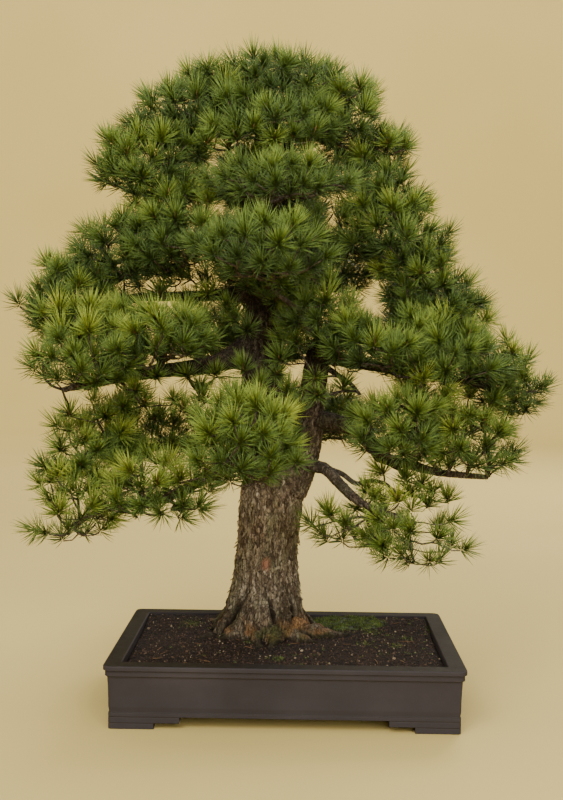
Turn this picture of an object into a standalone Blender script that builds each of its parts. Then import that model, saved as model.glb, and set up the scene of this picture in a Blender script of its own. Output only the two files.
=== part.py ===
"""A formal upright pine bonsai, standing in a shallow rectangular pot of unglazed clay.

Metres, +Z up. The origin is on the ground under the middle of the pot. The pot's long side runs along X,
and the tree's front looks towards -Y. The pot is one fired piece with stepped bracket feet. It holds the
drainage (mesh, wire clips and a gravel layer), the soil and a patch of moss. The tree is a trunk with surface
roots, a second leader and its primary branches, and one closed solid for the outer shape of each pad of
needles.
"""

import math

import bmesh
import bpy
from mathutils import Vector, noise

# Gap between flat faces that touch, and the clearance round wood and pads, whose faceted surfaces need more
GAP = 0.0003
CLEARANCE = 0.0006

# Pot: outer size, walls and rim
POT_WIDTH = 0.560
POT_DEPTH = 0.370
POT_HEIGHT = 0.100
POT_CORNER_RADIUS = 0.012
MIN_CORNER_RADIUS = 0.003
CORNER_STEPS = 3
RIM_WIDTH = 0.027
RIM_HEIGHT = 0.017
RIM_OVERHANG = 0.0065
RIM_LEDGE = 0.014
UPPER_BEAD_SHARE = 0.45
POT_WALL = 0.013
POT_FLOOR = 0.012
WAIST = 0.0018
GROOVE = 0.0014
BEAD = 0.0055
POT_EDGE_ANGLE = 25.0

# Hollow wall, from its foot up: share of the wall's height, share of WAIST that it is set in by
WALL_PROFILE = ((0.15, 1.0), (0.45, 0.9), (0.75, 0.5), (0.98, 0.0))

# Stepped bracket feet, one at each corner
FOOT_HEIGHT = 0.019
FOOT_STEP = 0.0095
FOOT_WIDTH_X = 0.072
FOOT_WIDTH_Y = 0.056
FOOT_STEP_LENGTH = 0.040
FOOT_THICKNESS = 0.022
FOOT_DRAFT = 0.0008

# Drainage
DRAIN_RADIUS = 0.012
DRAIN_SIDES = 20
DRAIN_SPACING = 0.240
MESH_THICKNESS = 0.0012
MESH_CELLS = 4
MESH_PITCH = 0.009
MESH_BAR = 0.002
CLIP_WIRE = 0.0008
CLIP_TAIL = 0.014
GRAVEL_DEPTH = 0.010

# Soil and moss. SOIL_SLOPE gives insets from the rim's inner edge and the share of SOIL_MOUND reached there
SOIL_DROP = 0.010
SOIL_MOUND = 0.006
SOIL_SLOPE = ((0.0, 0.0), (0.012, 0.5), (0.040, 0.8), (0.085, 1.0))
MOSS_X = 0.110
MOSS_TO_BACK_RIM = 0.017
MOSS_HALF_WIDTH = 0.070
MOSS_HALF_DEPTH = 0.036
MOSS_HEIGHT = 0.007
MOSS_SEGMENTS = 20

# Tree: its height above the soil, and where the trunk stands
TREE_HEIGHT = 1.0
TRUNK_X = -0.040
TRUNK_TO_BACK_RIM = 0.090

# Surface roots. Those beside the trunk reach further than those that the pot's back rim stops
ROOT_COUNT = 7
ROOT_RADIUS = 0.022
ROOT_REACH_SIDE = 0.108
ROOT_END_TO_BACK_RIM = 0.012
ROOT_FIRST_ANGLE = -0.5
ROOT_TURN = 0.35
ROOT_SPREAD = 0.20
ROOT_SWELL = 0.3

# A root from the trunk out: share of its reach, height above the soil, share of its radius
ROOT_PROFILE = (
    (0.15, 0.050, 1.15), (0.45, 0.030, 1.10), (0.70, 0.009, 0.95), (0.88, -0.004, 0.65), (1.0, -0.014, 0.35),
)

POT_FLOOR_TOP = FOOT_HEIGHT + POT_FLOOR
MESH_SIZE = MESH_CELLS * MESH_PITCH + 2 * MESH_BAR
SOIL_LEVEL = POT_HEIGHT - SOIL_DROP
BACK_RIM = POT_DEPTH / 2 - RIM_WIDTH
MOSS_Y = BACK_RIM - MOSS_TO_BACK_RIM - MOSS_HALF_DEPTH
TRUNK_Y = BACK_RIM - TRUNK_TO_BACK_RIM
ROOT_REACH_BACK = TRUNK_TO_BACK_RIM - ROOT_END_TO_BACK_RIM

# Wood and pads are laid out on a tree one metre tall, whose trunk leaves the soil here. A pad's lumps follow
# its place in this layout, so its shape stays the same when the tree is moved or made larger
LAYOUT_X = -0.040
LAYOUT_Y = 0.068
LAYOUT_SOIL = 0.090
MOSS_LAYOUT = (0.110, 0.105, 0.090)

# Wood: (x, y, height above the soil, radius) along each piece. A branch starts on the axis of what bears it
LIMBS = {
    "trunk": [
        (-0.042, 0.068, -0.030, 0.068), (-0.040, 0.068, 0.015, 0.068), (-0.038, 0.066, 0.058, 0.064),
        (-0.037, 0.063, 0.095, 0.057), (-0.036, 0.060, 0.140, 0.052), (-0.033, 0.060, 0.190, 0.052),
        (-0.029, 0.060, 0.240, 0.053), (-0.030, 0.060, 0.285, 0.046), (-0.038, 0.060, 0.335, 0.038),
        (-0.046, 0.060, 0.410, 0.035), (-0.048, 0.060, 0.490, 0.032), (-0.049, 0.060, 0.580, 0.026),
        (-0.047, 0.060, 0.660, 0.023), (-0.047, 0.060, 0.750, 0.020), (-0.051, 0.058, 0.835, 0.014),
        (-0.052, 0.052, 0.915, 0.009), (-0.048, 0.050, 0.955, 0.005),
    ],
    "right_leader": [
        (-0.022, 0.058, 0.225, 0.028), (0.000, 0.052, 0.265, 0.030), (0.022, 0.042, 0.300, 0.026),
        (0.035, 0.030, 0.345, 0.022), (0.037, 0.022, 0.395, 0.021), (0.044, 0.020, 0.455, 0.021),
        (0.055, 0.028, 0.500, 0.021), (0.088, 0.042, 0.514, 0.017), (0.140, 0.062, 0.506, 0.014),
        (0.200, 0.085, 0.510, 0.011), (0.262, 0.098, 0.518, 0.008), (0.315, 0.110, 0.522, 0.005),
    ],
    "branch_right_low": [
        (0.037, 0.022, 0.380, 0.016), (0.094, 0.000, 0.372, 0.0135), (0.128, -0.018, 0.358, 0.013),
        (0.152, -0.030, 0.322, 0.011), (0.204, -0.030, 0.308, 0.008), (0.252, -0.030, 0.296, 0.006),
        (0.330, -0.030, 0.290, 0.004),
    ],
    "branch_right_lowest": [
        (0.022, 0.042, 0.300, 0.012), (0.060, 0.000, 0.298, 0.010), (0.078, -0.030, 0.284, 0.009),
        (0.100, -0.058, 0.264, 0.008), (0.125, -0.080, 0.248, 0.006), (0.160, -0.085, 0.236, 0.005),
        (0.205, -0.080, 0.222, 0.0035),
    ],
    "branch_right_long": [
        (0.050, 0.025, 0.485, 0.013), (0.100, -0.010, 0.478, 0.010), (0.170, -0.035, 0.465, 0.008),
        (0.250, -0.030, 0.455, 0.006), (0.320, 0.000, 0.440, 0.0045), (0.375, 0.030, 0.425, 0.003),
    ],
    "branch_right_upper": [
        (-0.047, 0.060, 0.700, 0.011), (0.020, 0.055, 0.706, 0.010), (0.075, 0.035, 0.680, 0.008),
        (0.125, 0.015, 0.656, 0.0065), (0.190, 0.000, 0.640, 0.005), (0.240, 0.000, 0.590, 0.0035),
    ],
    "branch_right_top": [
        (-0.048, 0.060, 0.775, 0.010), (0.020, 0.050, 0.785, 0.008), (0.090, 0.030, 0.780, 0.006),
        (0.150, 0.020, 0.765, 0.004),
    ],
    "branch_left_top": [
        (-0.048, 0.060, 0.755, 0.011), (-0.110, 0.030, 0.760, 0.009), (-0.170, 0.000, 0.760, 0.007),
        (-0.240, -0.015, 0.770, 0.004),
    ],
    "branch_left_second": [
        (-0.047, 0.060, 0.655, 0.012), (-0.100, 0.030, 0.675, 0.010), (-0.160, 0.000, 0.680, 0.008),
        (-0.230, 0.000, 0.655, 0.006), (-0.300, 0.000, 0.635, 0.004),
    ],
    "branch_left_mid": [
        (-0.048, 0.060, 0.595, 0.012), (-0.155, 0.050, 0.585, 0.009), (-0.250, 0.030, 0.582, 0.007),
        (-0.325, 0.015, 0.570, 0.005), (-0.385, 0.010, 0.556, 0.0035),
    ],
    "branch_left_long": [
        (-0.048, 0.060, 0.505, 0.020), (-0.080, 0.050, 0.492, 0.018), (-0.125, 0.025, 0.470, 0.015),
        (-0.180, -0.020, 0.462, 0.012), (-0.235, -0.055, 0.455, 0.010), (-0.300, -0.080, 0.442, 0.007),
        (-0.360, -0.095, 0.428, 0.004),
    ],
    "branch_left_low": [
        (-0.030, 0.060, 0.300, 0.014), (-0.090, 0.010, 0.298, 0.010), (-0.145, -0.025, 0.277, 0.009),
        (-0.200, -0.050, 0.250, 0.0075), (-0.258, -0.062, 0.242, 0.006), (-0.307, -0.065, 0.230, 0.005),
        (-0.350, -0.070, 0.205, 0.0035),
    ],
    "branch_left_low_back": [
        (-0.040, 0.060, 0.360, 0.012), (-0.110, 0.062, 0.345, 0.009), (-0.190, 0.055, 0.332, 0.008),
        (-0.250, 0.045, 0.322, 0.006), (-0.310, 0.025, 0.318, 0.0045), (-0.350, 0.010, 0.312, 0.0035),
    ],
    "branch_front_low": [
        (-0.038, 0.060, 0.330, 0.013), (-0.048, -0.020, 0.318, 0.011), (-0.056, -0.100, 0.310, 0.008),
        (-0.060, -0.180, 0.315, 0.006), (-0.060, -0.235, 0.325, 0.0035),
    ],
    "branch_front_mid": [
        (-0.049, 0.060, 0.600, 0.012), (-0.042, -0.010, 0.598, 0.009), (-0.036, -0.090, 0.596, 0.007),
        (-0.032, -0.170, 0.606, 0.004),
    ],
    "branch_front_top": [
        (-0.047, 0.060, 0.725, 0.010), (-0.035, -0.010, 0.722, 0.007), (-0.024, -0.080, 0.722, 0.005),
        (-0.018, -0.130, 0.728, 0.0035),
    ],
    "branch_back_low": [
        (-0.036, 0.060, 0.350, 0.013), (-0.010, 0.140, 0.345, 0.009), (0.015, 0.210, 0.345, 0.006),
        (0.030, 0.260, 0.350, 0.004),
    ],
    "branch_back_mid": [
        (-0.048, 0.060, 0.500, 0.013), (-0.060, 0.140, 0.495, 0.009), (-0.070, 0.210, 0.495, 0.006),
        (-0.075, 0.265, 0.500, 0.004),
    ],
    "branch_back_upper": [
        (-0.047, 0.060, 0.650, 0.011), (-0.035, 0.130, 0.646, 0.008), (-0.020, 0.190, 0.642, 0.006),
        (-0.015, 0.245, 0.640, 0.0035),
    ],
}

# Pads of needles: x, y, height above the soil, half width, half depth, rise above and sink below that height
PADS = {
    "pad_apex": (-0.024, 0.045, 0.945, 0.128, 0.120, 0.058, 0.050),
    "pad_shoulder_left": (-0.178, 0.005, 0.888, 0.102, 0.092, 0.050, 0.048),
    "pad_shoulder_right": (0.098, 0.015, 0.872, 0.076, 0.085, 0.046, 0.045),
    "pad_shoulder_front": (-0.025, -0.075, 0.858, 0.080, 0.078, 0.040, 0.038),
    "pad_upper_left": (-0.238, -0.015, 0.788, 0.094, 0.088, 0.044, 0.048),
    "pad_upper_right": (0.158, 0.020, 0.776, 0.060, 0.078, 0.056, 0.050),
    "pad_upper_front": (-0.016, -0.150, 0.757, 0.123, 0.080, 0.044, 0.040),
    "pad_upper_back": (-0.040, 0.190, 0.800, 0.130, 0.105, 0.072, 0.064),
    "pad_second_left": (-0.284, 0.000, 0.655, 0.098, 0.095, 0.068, 0.050),
    "pad_second_left_tip": (-0.376, 0.015, 0.572, 0.076, 0.088, 0.058, 0.055),
    "pad_second_left_inner": (-0.175, -0.065, 0.686, 0.070, 0.080, 0.052, 0.062),
    "pad_second_front": (-0.036, -0.200, 0.648, 0.112, 0.088, 0.058, 0.050),
    "pad_second_right": (0.165, -0.030, 0.683, 0.090, 0.088, 0.045, 0.042),
    "pad_second_right_tip": (0.236, 0.000, 0.598, 0.086, 0.088, 0.046, 0.046),
    "pad_second_back": (0.020, 0.238, 0.655, 0.170, 0.110, 0.068, 0.064),
    "pad_third_left": (-0.195, -0.130, 0.525, 0.086, 0.088, 0.054, 0.054),
    "pad_third_left_tip": (-0.332, -0.100, 0.486, 0.088, 0.088, 0.060, 0.060),
    "pad_third_front": (0.048, -0.070, 0.556, 0.064, 0.075, 0.048, 0.044),
    "pad_third_right_inner": (0.150, -0.125, 0.500, 0.078, 0.078, 0.042, 0.040),
    "pad_third_right": (0.275, -0.060, 0.492, 0.084, 0.092, 0.058, 0.056),
    "pad_third_right_tip": (0.384, 0.045, 0.450, 0.067, 0.078, 0.058, 0.052),
    "pad_third_back": (-0.085, 0.240, 0.515, 0.165, 0.110, 0.064, 0.060),
    "pad_third_back_right": (0.245, 0.150, 0.535, 0.105, 0.096, 0.060, 0.052),
    "pad_fourth_left": (-0.232, 0.045, 0.355, 0.086, 0.088, 0.050, 0.046),
    "pad_fourth_left_tip": (-0.340, -0.010, 0.330, 0.080, 0.088, 0.066, 0.052),
    "pad_fourth_right": (0.172, -0.120, 0.386, 0.080, 0.086, 0.064, 0.066),
    "pad_fourth_right_tip": (0.300, -0.030, 0.354, 0.090, 0.092, 0.062, 0.066),
    "pad_fourth_back": (0.030, 0.240, 0.372, 0.150, 0.110, 0.064, 0.060),
    "pad_low_front": (-0.062, -0.245, 0.375, 0.096, 0.100, 0.076, 0.080),
    "pad_low_left": (-0.200, -0.130, 0.280, 0.089, 0.088, 0.062, 0.056),
    "pad_low_left_tip": (-0.350, -0.078, 0.230, 0.073, 0.078, 0.054, 0.054),
    "pad_lowest_right": (0.090, -0.085, 0.222, 0.068, 0.066, 0.044, 0.040),
    "pad_lowest_right_tip": (0.213, -0.080, 0.204, 0.088, 0.074, 0.052, 0.056),
}
PAD_LUMPS = 0.10
PAD_LUMP_SCALE = 1.4
PAD_VARIETY = 20.0
PAD_SEGMENTS = 12
PAD_RINGS = 6
PAD_FLATNESS = 0.80

LIMB_STEPS = 2
MIN_SIDES = 8
TRUNK_SIDES = 14
THICK_LIMBS = ("trunk", "right_leader")

# Colours, roughness
CLAY = ((0.085, 0.069, 0.059), 0.62)
SOIL = ((0.032, 0.020, 0.013), 0.95)
GRAVEL = ((0.180, 0.150, 0.120), 0.90)
MOSS = ((0.075, 0.130, 0.020), 0.95)
BARK = ((0.140, 0.105, 0.078), 0.92)
NEEDLES = ((0.070, 0.140, 0.030), 0.60)
MESH_PLASTIC = ((0.030, 0.032, 0.034), 0.55)
CLIP_ALUMINIUM = ((0.420, 0.240, 0.140), 0.38)


def clear_scene():
    for obj in list(bpy.data.objects):
        bpy.data.objects.remove(obj, do_unlink=True)


def new_collection(name):
    collection = bpy.data.collections.new(name)
    bpy.context.scene.collection.children.link(collection)
    return collection


def new_material(name, finish, metallic=0.0):
    colour, roughness = finish
    material = bpy.data.materials.new(name)
    material.use_nodes = True
    shader = material.node_tree.nodes["Principled BSDF"]
    shader.inputs["Base Color"].default_value = (*colour, 1.0)
    shader.inputs["Roughness"].default_value = roughness
    shader.inputs["Metallic"].default_value = metallic
    return material


def add_object(name, mesh, collection, parent=None, material=None):
    obj = bpy.data.objects.new(name, mesh)
    collection.objects.link(obj)
    obj.parent = parent
    if material:
        mesh.materials.append(material)
    return obj


def mesh_from(bm, name, triangles=False):
    """The mesh of bm. Splitting bent faces into triangles keeps a body and its clearance body parallel."""
    bmesh.ops.recalc_face_normals(bm, faces=bm.faces)
    if triangles:
        bmesh.ops.triangulate(bm, faces=bm.faces, quad_method="FIXED")
    mesh = bpy.data.meshes.new(name)
    bm.to_mesh(mesh)
    bm.free()
    return mesh


def shade_smooth(obj, angle=60.0):
    obj.data.shade_smooth()
    obj.data.set_sharp_from_angle(angle=math.radians(angle))


def make_helper(obj):
    """A cutter or other helper: drawn as wire in the viewport and left out of the model."""
    obj.hide_render = True
    obj.display_type = "WIRE"
    return obj


def combine(obj, other, operation="DIFFERENCE"):
    modifier = obj.modifiers.new(f"{operation.lower()}_{other.name}", "BOOLEAN")
    modifier.operation = operation
    modifier.solver = "EXACT"
    modifier.object = other


def box_mesh(name, low, high):
    bm = bmesh.new()
    bmesh.ops.create_cube(bm, size=1.0)
    low, high = Vector(low), Vector(high)
    for vert in bm.verts:
        vert.co = (low + high) / 2 + vert.co * (high - low)
    return mesh_from(bm, name)


def box_cutter(name, low, high, collection):
    return make_helper(add_object(name, box_mesh(name, low, high), collection))


# ---- rounded rectangles, for the pot and everything that fills it ----


def rounded_rectangle(half_width, half_depth, radius, z):
    """Points round a rectangle with round corners, from the +X +Y corner, seen from above."""
    points = []
    for corner in range(4):
        side_x = 1 if corner in (0, 3) else -1
        side_y = 1 if corner in (0, 1) else -1
        for step in range(CORNER_STEPS + 1):
            angle = math.pi / 2 * (corner + step / CORNER_STEPS)
            points.append((
                side_x * (half_width - radius) + radius * math.cos(angle),
                side_y * (half_depth - radius) + radius * math.sin(angle),
                z,
            ))
    return points


def loft(name, rings):
    """A closed body whose skin runs through the rings in turn, with a flat face on the first and last."""
    bm = bmesh.new()
    loops = [[bm.verts.new(point) for point in ring] for ring in rings]
    count = len(loops[0])
    for below, above in zip(loops, loops[1:]):
        for i in range(count):
            j = (i + 1) % count
            bm.faces.new((below[i], below[j], above[j], above[i]))
    bm.faces.new(loops[0])
    bm.faces.new(loops[-1])
    return mesh_from(bm, name)


def pot_ring(inset, z):
    """The pot's outline, set in from its overall size, at a height."""
    radius = max(POT_CORNER_RADIUS - inset, MIN_CORNER_RADIUS)
    return rounded_rectangle(POT_WIDTH / 2 - inset, POT_DEPTH / 2 - inset, radius, z)


def bead_rings(inset, low, high):
    """A flat bead with rounded edges between two grooves."""
    edge = GROOVE / 2
    return [pot_ring(inset + GROOVE, low), pot_ring(inset, low + edge),
            pot_ring(inset, high - edge), pot_ring(inset + GROOVE, high)]


# ---- pot ----


def pot_outer_rings():
    """The outside, from the ground up: two foot beads, a belt, the hollow wall and two rim beads."""
    foot_inset = RIM_OVERHANG + WAIST
    rim_bottom = POT_HEIGHT - RIM_HEIGHT
    bead_top = POT_HEIGHT - UPPER_BEAD_SHARE * RIM_HEIGHT
    belt_top = FOOT_HEIGHT + BEAD + GROOVE
    wall_height = rim_bottom - belt_top
    rings = bead_rings(foot_inset, 0.0, FOOT_STEP)
    rings += bead_rings(foot_inset, FOOT_STEP, FOOT_HEIGHT)[1:]
    rings += bead_rings(foot_inset, FOOT_HEIGHT, belt_top)[1:]
    for share, hollow in WALL_PROFILE:
        rings.append(pot_ring(RIM_OVERHANG + hollow * WAIST, belt_top + share * wall_height))
    rings += bead_rings(RIM_OVERHANG / 2, rim_bottom, bead_top)
    rings += bead_rings(0.0, bead_top, POT_HEIGHT - GROOVE / 2)[1:3]
    rings.append(pot_ring(GROOVE, POT_HEIGHT))
    return rings


def pot_inner_rings():
    """The inside, from the rim down: the rim's ledge and the wall behind it, to the floor."""
    ledge_bottom = POT_HEIGHT - RIM_LEDGE
    wall_inset = RIM_OVERHANG + POT_WALL
    return [
        pot_ring(RIM_WIDTH - GROOVE, POT_HEIGHT),
        pot_ring(RIM_WIDTH, POT_HEIGHT - GROOVE),
        pot_ring(RIM_WIDTH, ledge_bottom),
        pot_ring(wall_inset, ledge_bottom - (RIM_WIDTH - wall_inset)),
        pot_ring(wall_inset, POT_FLOOR_TOP),
    ]


def gap_outline(inner_x, inner_y, free_x, free_y, z):
    """The open space under the pot from above: a rectangle inside the feet, with an arm out of each side."""
    quarter = [(POT_WIDTH, free_y), (inner_x, free_y), (inner_x, inner_y)]
    quarter += [(free_x, inner_y), (free_x, POT_DEPTH)]
    outline = []
    for side_x, side_y in ((1, 1), (-1, 1), (-1, -1), (1, -1)):
        corner = [(side_x * x, side_y * y, z) for x, y in quarter]
        outline += corner if side_x == side_y else corner[::-1]
    return outline


def cut_feet(pot, cutters):
    """Opens the space under the pot, so that a two-stepped bracket is left at each corner."""
    inner_x = POT_WIDTH / 2 - RIM_OVERHANG - FOOT_THICKNESS
    inner_y = POT_DEPTH / 2 - RIM_OVERHANG - FOOT_THICKNESS
    free_x = POT_WIDTH / 2 - RIM_OVERHANG - FOOT_WIDTH_X
    free_y = POT_DEPTH / 2 - RIM_OVERHANG - FOOT_WIDTH_Y
    low = (inner_x, inner_y, free_x, free_y)
    high = (inner_x - FOOT_DRAFT, inner_y - FOOT_DRAFT)
    high += (free_x - FOOT_STEP_LENGTH, free_y - FOOT_STEP_LENGTH)
    rings = [gap_outline(*low, -FOOT_HEIGHT), gap_outline(*low, FOOT_STEP),
             gap_outline(*high, FOOT_STEP), gap_outline(*high, FOOT_HEIGHT)]
    gap = add_object("under_pot_gap", loft("under_pot_gap", rings), cutters)
    combine(pot, make_helper(gap))


def drain_centres():
    return {"left": -DRAIN_SPACING / 2, "right": DRAIN_SPACING / 2}


def cut_drains(pot, cutters):
    for side, x in drain_centres().items():
        bm = bmesh.new()
        bmesh.ops.create_cone(bm, cap_ends=True, segments=DRAIN_SIDES, radius1=DRAIN_RADIUS,
                              radius2=DRAIN_RADIUS, depth=3 * POT_FLOOR)
        hole = add_object(f"drain_hole_{side}", mesh_from(bm, f"drain_hole_{side}"), cutters)
        hole.location = (x, 0.0, FOOT_HEIGHT + POT_FLOOR / 2)
        combine(pot, make_helper(hole))


def make_pot(parts, cutters, base):
    mesh = loft("pot", pot_outer_rings() + pot_inner_rings())
    pot = add_object("pot", mesh, parts, base, new_material("unglazed_clay", CLAY))
    cut_feet(pot, cutters)
    cut_drains(pot, cutters)
    shade_smooth(pot, POT_EDGE_ANGLE)


# ---- drainage ----


def make_drain_mesh(side, x, parts, cutters, base, material):
    """A square of plastic mesh over the drain hole: a plate with a grid of square openings."""
    low = POT_FLOOR_TOP + GAP
    half = MESH_SIZE / 2
    name = f"drain_mesh_{side}"
    mesh = box_mesh(name, (x - half, -half, low), (x + half, half, low + MESH_THICKNESS))
    plate = add_object(name, mesh, parts, base, material)
    cell = (MESH_PITCH - MESH_BAR) / 2
    first = -MESH_PITCH * (MESH_CELLS - 1) / 2
    bm = bmesh.new()
    for row in range(MESH_CELLS):
        for column in range(MESH_CELLS):
            centre = Vector((x + first + column * MESH_PITCH, first + row * MESH_PITCH, low))
            made = bmesh.ops.create_cube(bm, size=2 * cell)
            bmesh.ops.translate(bm, verts=made["verts"], vec=centre)
    grid = add_object(f"mesh_openings_{side}", mesh_from(bm, f"mesh_openings_{side}"), cutters)
    combine(plate, make_helper(grid))


def make_clip(side, x, parts, base, material):
    """A wire staple: over a bar of the mesh, down through the drain hole and bent out under the pot."""
    reach = MESH_PITCH / 2
    top = POT_FLOOR_TOP + GAP + MESH_THICKNESS + GAP + CLIP_WIRE
    under = FOOT_HEIGHT - GAP - CLIP_WIRE
    half = [(0.0, top), (reach - CLIP_WIRE, top), (reach, top - CLIP_WIRE), (reach, under + CLIP_WIRE),
            (reach + CLIP_WIRE, under), (reach + CLIP_TAIL, under)]
    left = [(x - offset, reach, z, CLIP_WIRE) for offset, z in reversed(half)]
    right = [(x + offset, reach, z, CLIP_WIRE) for offset, z in half[1:]]
    mesh = tube_mesh(f"drain_clip_{side}", left + right, MIN_SIDES)
    clip = add_object(f"drain_clip_{side}", mesh, parts, base, material)
    shade_smooth(clip)


def filling_ring(inset, z):
    """An outline that fits inside the pot, set in from the pot's overall size."""
    return pot_ring(inset + GAP, z)


def make_gravel(parts, cutters, base):
    low = POT_FLOOR_TOP + GAP
    wall = RIM_OVERHANG + POT_WALL
    mesh = loft("drainage_gravel", [filling_ring(wall, low), filling_ring(wall, low + GRAVEL_DEPTH)])
    gravel = add_object("drainage_gravel", mesh, parts, base, new_material("gravel", GRAVEL))
    half = MESH_SIZE / 2 + GAP
    top = low + MESH_THICKNESS + 2 * CLIP_WIRE + 3 * GAP
    for side, x in drain_centres().items():
        low_corner = (x - half, -half, low - GRAVEL_DEPTH)
        combine(gravel, box_cutter(f"gravel_pocket_{side}", low_corner, (x + half, half, top), cutters))


# ---- soil and moss ----


def make_soil(parts, base):
    wall = RIM_OVERHANG + POT_WALL
    bottom = POT_FLOOR_TOP + GRAVEL_DEPTH + 2 * GAP
    under_ledge = POT_HEIGHT - RIM_LEDGE - (RIM_WIDTH - wall)
    edge = SOIL_LEVEL - SOIL_MOUND / 2
    rings = [filling_ring(wall, bottom), filling_ring(wall, under_ledge - GAP),
             filling_ring(RIM_WIDTH, under_ledge + RIM_WIDTH - wall)]
    for inset, rise in SOIL_SLOPE:
        rings.append(filling_ring(RIM_WIDTH + inset, edge + rise * SOIL_MOUND))
    return add_object("soil", loft("soil", rings), parts, base, new_material("soil", SOIL))


def dome_mesh(name, layout, centre, halves, rise, sink, grow=0.0, segments=PAD_SEGMENTS):
    """A flattened lumpy cushion: halves is its half width and half depth, grow thickens it all round.

    layout is its place in the layout, which its lumps follow.
    """
    bm = bmesh.new()
    bmesh.ops.create_uvsphere(bm, u_segments=segments, v_segments=PAD_RINGS, radius=1.0)
    centre = Vector(centre)
    for vert in bm.verts:
        unit = vert.co.copy()
        lump = 1.0 + PAD_LUMPS * noise.noise(unit * PAD_LUMP_SCALE + Vector(layout) * PAD_VARIETY)
        around = max(math.hypot(unit.x, unit.y), 1e-6)
        swell = around ** PAD_FLATNESS / around
        height = (rise if unit.z > 0 else sink) + grow
        vert.co = centre + lump * Vector((
            unit.x * swell * (halves[0] + grow),
            unit.y * swell * (halves[1] + grow),
            unit.z * height,
        ))
    return mesh_from(bm, name, triangles=True)


def make_moss(soil, parts, cutters, base):
    """A low cushion of moss that lies on the soil behind the trunk's right side."""
    centre = (MOSS_X, MOSS_Y, SOIL_LEVEL)
    mesh = dome_mesh("moss_patch", MOSS_LAYOUT, centre, (MOSS_HALF_WIDTH, MOSS_HALF_DEPTH),
                     MOSS_HEIGHT + SOIL_MOUND / 2, MOSS_HEIGHT, segments=MOSS_SEGMENTS)
    moss = add_object("moss_patch", mesh, parts, base, new_material("moss", MOSS))
    raised = add_object("soil_clearance", soil.data.copy(), cutters)
    raised.location = (0.0, 0.0, GAP)
    combine(moss, make_helper(raised))
    shade_smooth(moss)
    return moss


# ---- wood ----


def place(x, y, height):
    """A point of the tree as laid out one metre tall, brought to its real size on its foot in the pot."""
    return Vector((TRUNK_X + (x - LAYOUT_X) * TREE_HEIGHT, TRUNK_Y + (y - LAYOUT_Y) * TREE_HEIGHT,
                   SOIL_LEVEL + height * TREE_HEIGHT))


def smooth_route(stations, steps):
    """A Catmull-Rom curve through (x, y, z, radius) stations, with steps points to each stretch."""
    ends = [stations[0]] + list(stations) + [stations[-1]]
    route = []
    for a, b, c, d in zip(ends, ends[1:], ends[2:], ends[3:]):
        for step in range(steps):
            t = step / steps
            route.append(tuple(
                q + 0.5 * t * (r - p + t * (2 * p - 5 * q + 4 * r - s + t * (3 * (q - r) + s - p)))
                for p, q, r, s in zip(a, b, c, d)
            ))
    route.append(tuple(stations[-1]))
    return route


def tube_mesh(name, stations, sides, grow=0.0):
    """A closed tube through (x, y, z, radius) stations; grow thickens it and lengthens both ends."""
    points = [Vector(station[:3]) for station in stations]
    points[0] += (points[0] - points[1]).normalized() * grow
    points[-1] += (points[-1] - points[-2]).normalized() * grow
    curve = bpy.data.curves.new(name, "CURVE")
    curve.dimensions = "3D"
    curve.bevel_depth = 1.0
    curve.bevel_resolution = sides // 2 - 2
    curve.use_fill_caps = True
    spline = curve.splines.new("POLY")
    spline.points.add(len(points) - 1)
    for target, point, station in zip(spline.points, points, stations):
        target.co = (*point, 1.0)
        target.radius = station[3] + grow
    holder = bpy.data.objects.new(name, curve)
    bpy.context.scene.collection.objects.link(holder)
    graph = bpy.context.evaluated_depsgraph_get()
    made = bpy.data.meshes.new_from_object(holder.evaluated_get(graph))
    bpy.data.objects.remove(holder)
    bm = bmesh.new()
    bm.from_mesh(made)
    bpy.data.meshes.remove(made)
    bmesh.ops.remove_doubles(bm, verts=bm.verts, dist=1e-6)
    return mesh_from(bm, name, triangles=True)


def limb_stations(name):
    stations = []
    for x, y, height, radius in LIMBS[name]:
        stations.append((*place(x, y, height), radius * TREE_HEIGHT))
    return smooth_route(stations, LIMB_STEPS)


def root_stations(index):
    """A surface root: out of the trunk's foot, along the soil and down into it."""
    turn = ROOT_TURN * noise.noise(Vector((index * 3.1, 0.5, 0.0)))
    angle = ROOT_FIRST_ANGLE + 2 * math.pi * (index + turn) / ROOT_COUNT
    spread = 1.0 + ROOT_SPREAD * noise.noise(Vector((0.7, index * 2.3, 4.0)))
    reach_x = spread * ROOT_REACH_SIDE * math.cos(angle)
    reach_y = spread * ROOT_REACH_BACK * math.sin(angle)
    radius = ROOT_RADIUS * (1.0 + ROOT_SWELL * noise.noise(Vector((index * 1.7, 3.0, 1.0))))
    stations = []
    for share, height, thickness in ROOT_PROFILE:
        stations.append((TRUNK_X + share * reach_x, TRUNK_Y + share * reach_y, SOIL_LEVEL + height,
                         radius * thickness))
    return smooth_route(stations, LIMB_STEPS)


def sides_of(name):
    return TRUNK_SIDES if name in THICK_LIMBS else MIN_SIDES


def bounds_meet(first, second):
    """Whether the boxes round two objects' own meshes meet."""
    boxes = []
    for obj in (first, second):
        corners = [vert.co for vert in obj.data.vertices]
        boxes.append([(min(c[i] for c in corners), max(c[i] for c in corners)) for i in range(3)])
    return all(a[0] < b[1] and b[0] < a[1] for a, b in zip(*boxes))


def cut_clear(obj, neighbours):
    """Cuts from obj each neighbour's clearance body that could meet it."""
    for neighbour in neighbours:
        if bounds_meet(obj, neighbour):
            combine(obj, neighbour)


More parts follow.
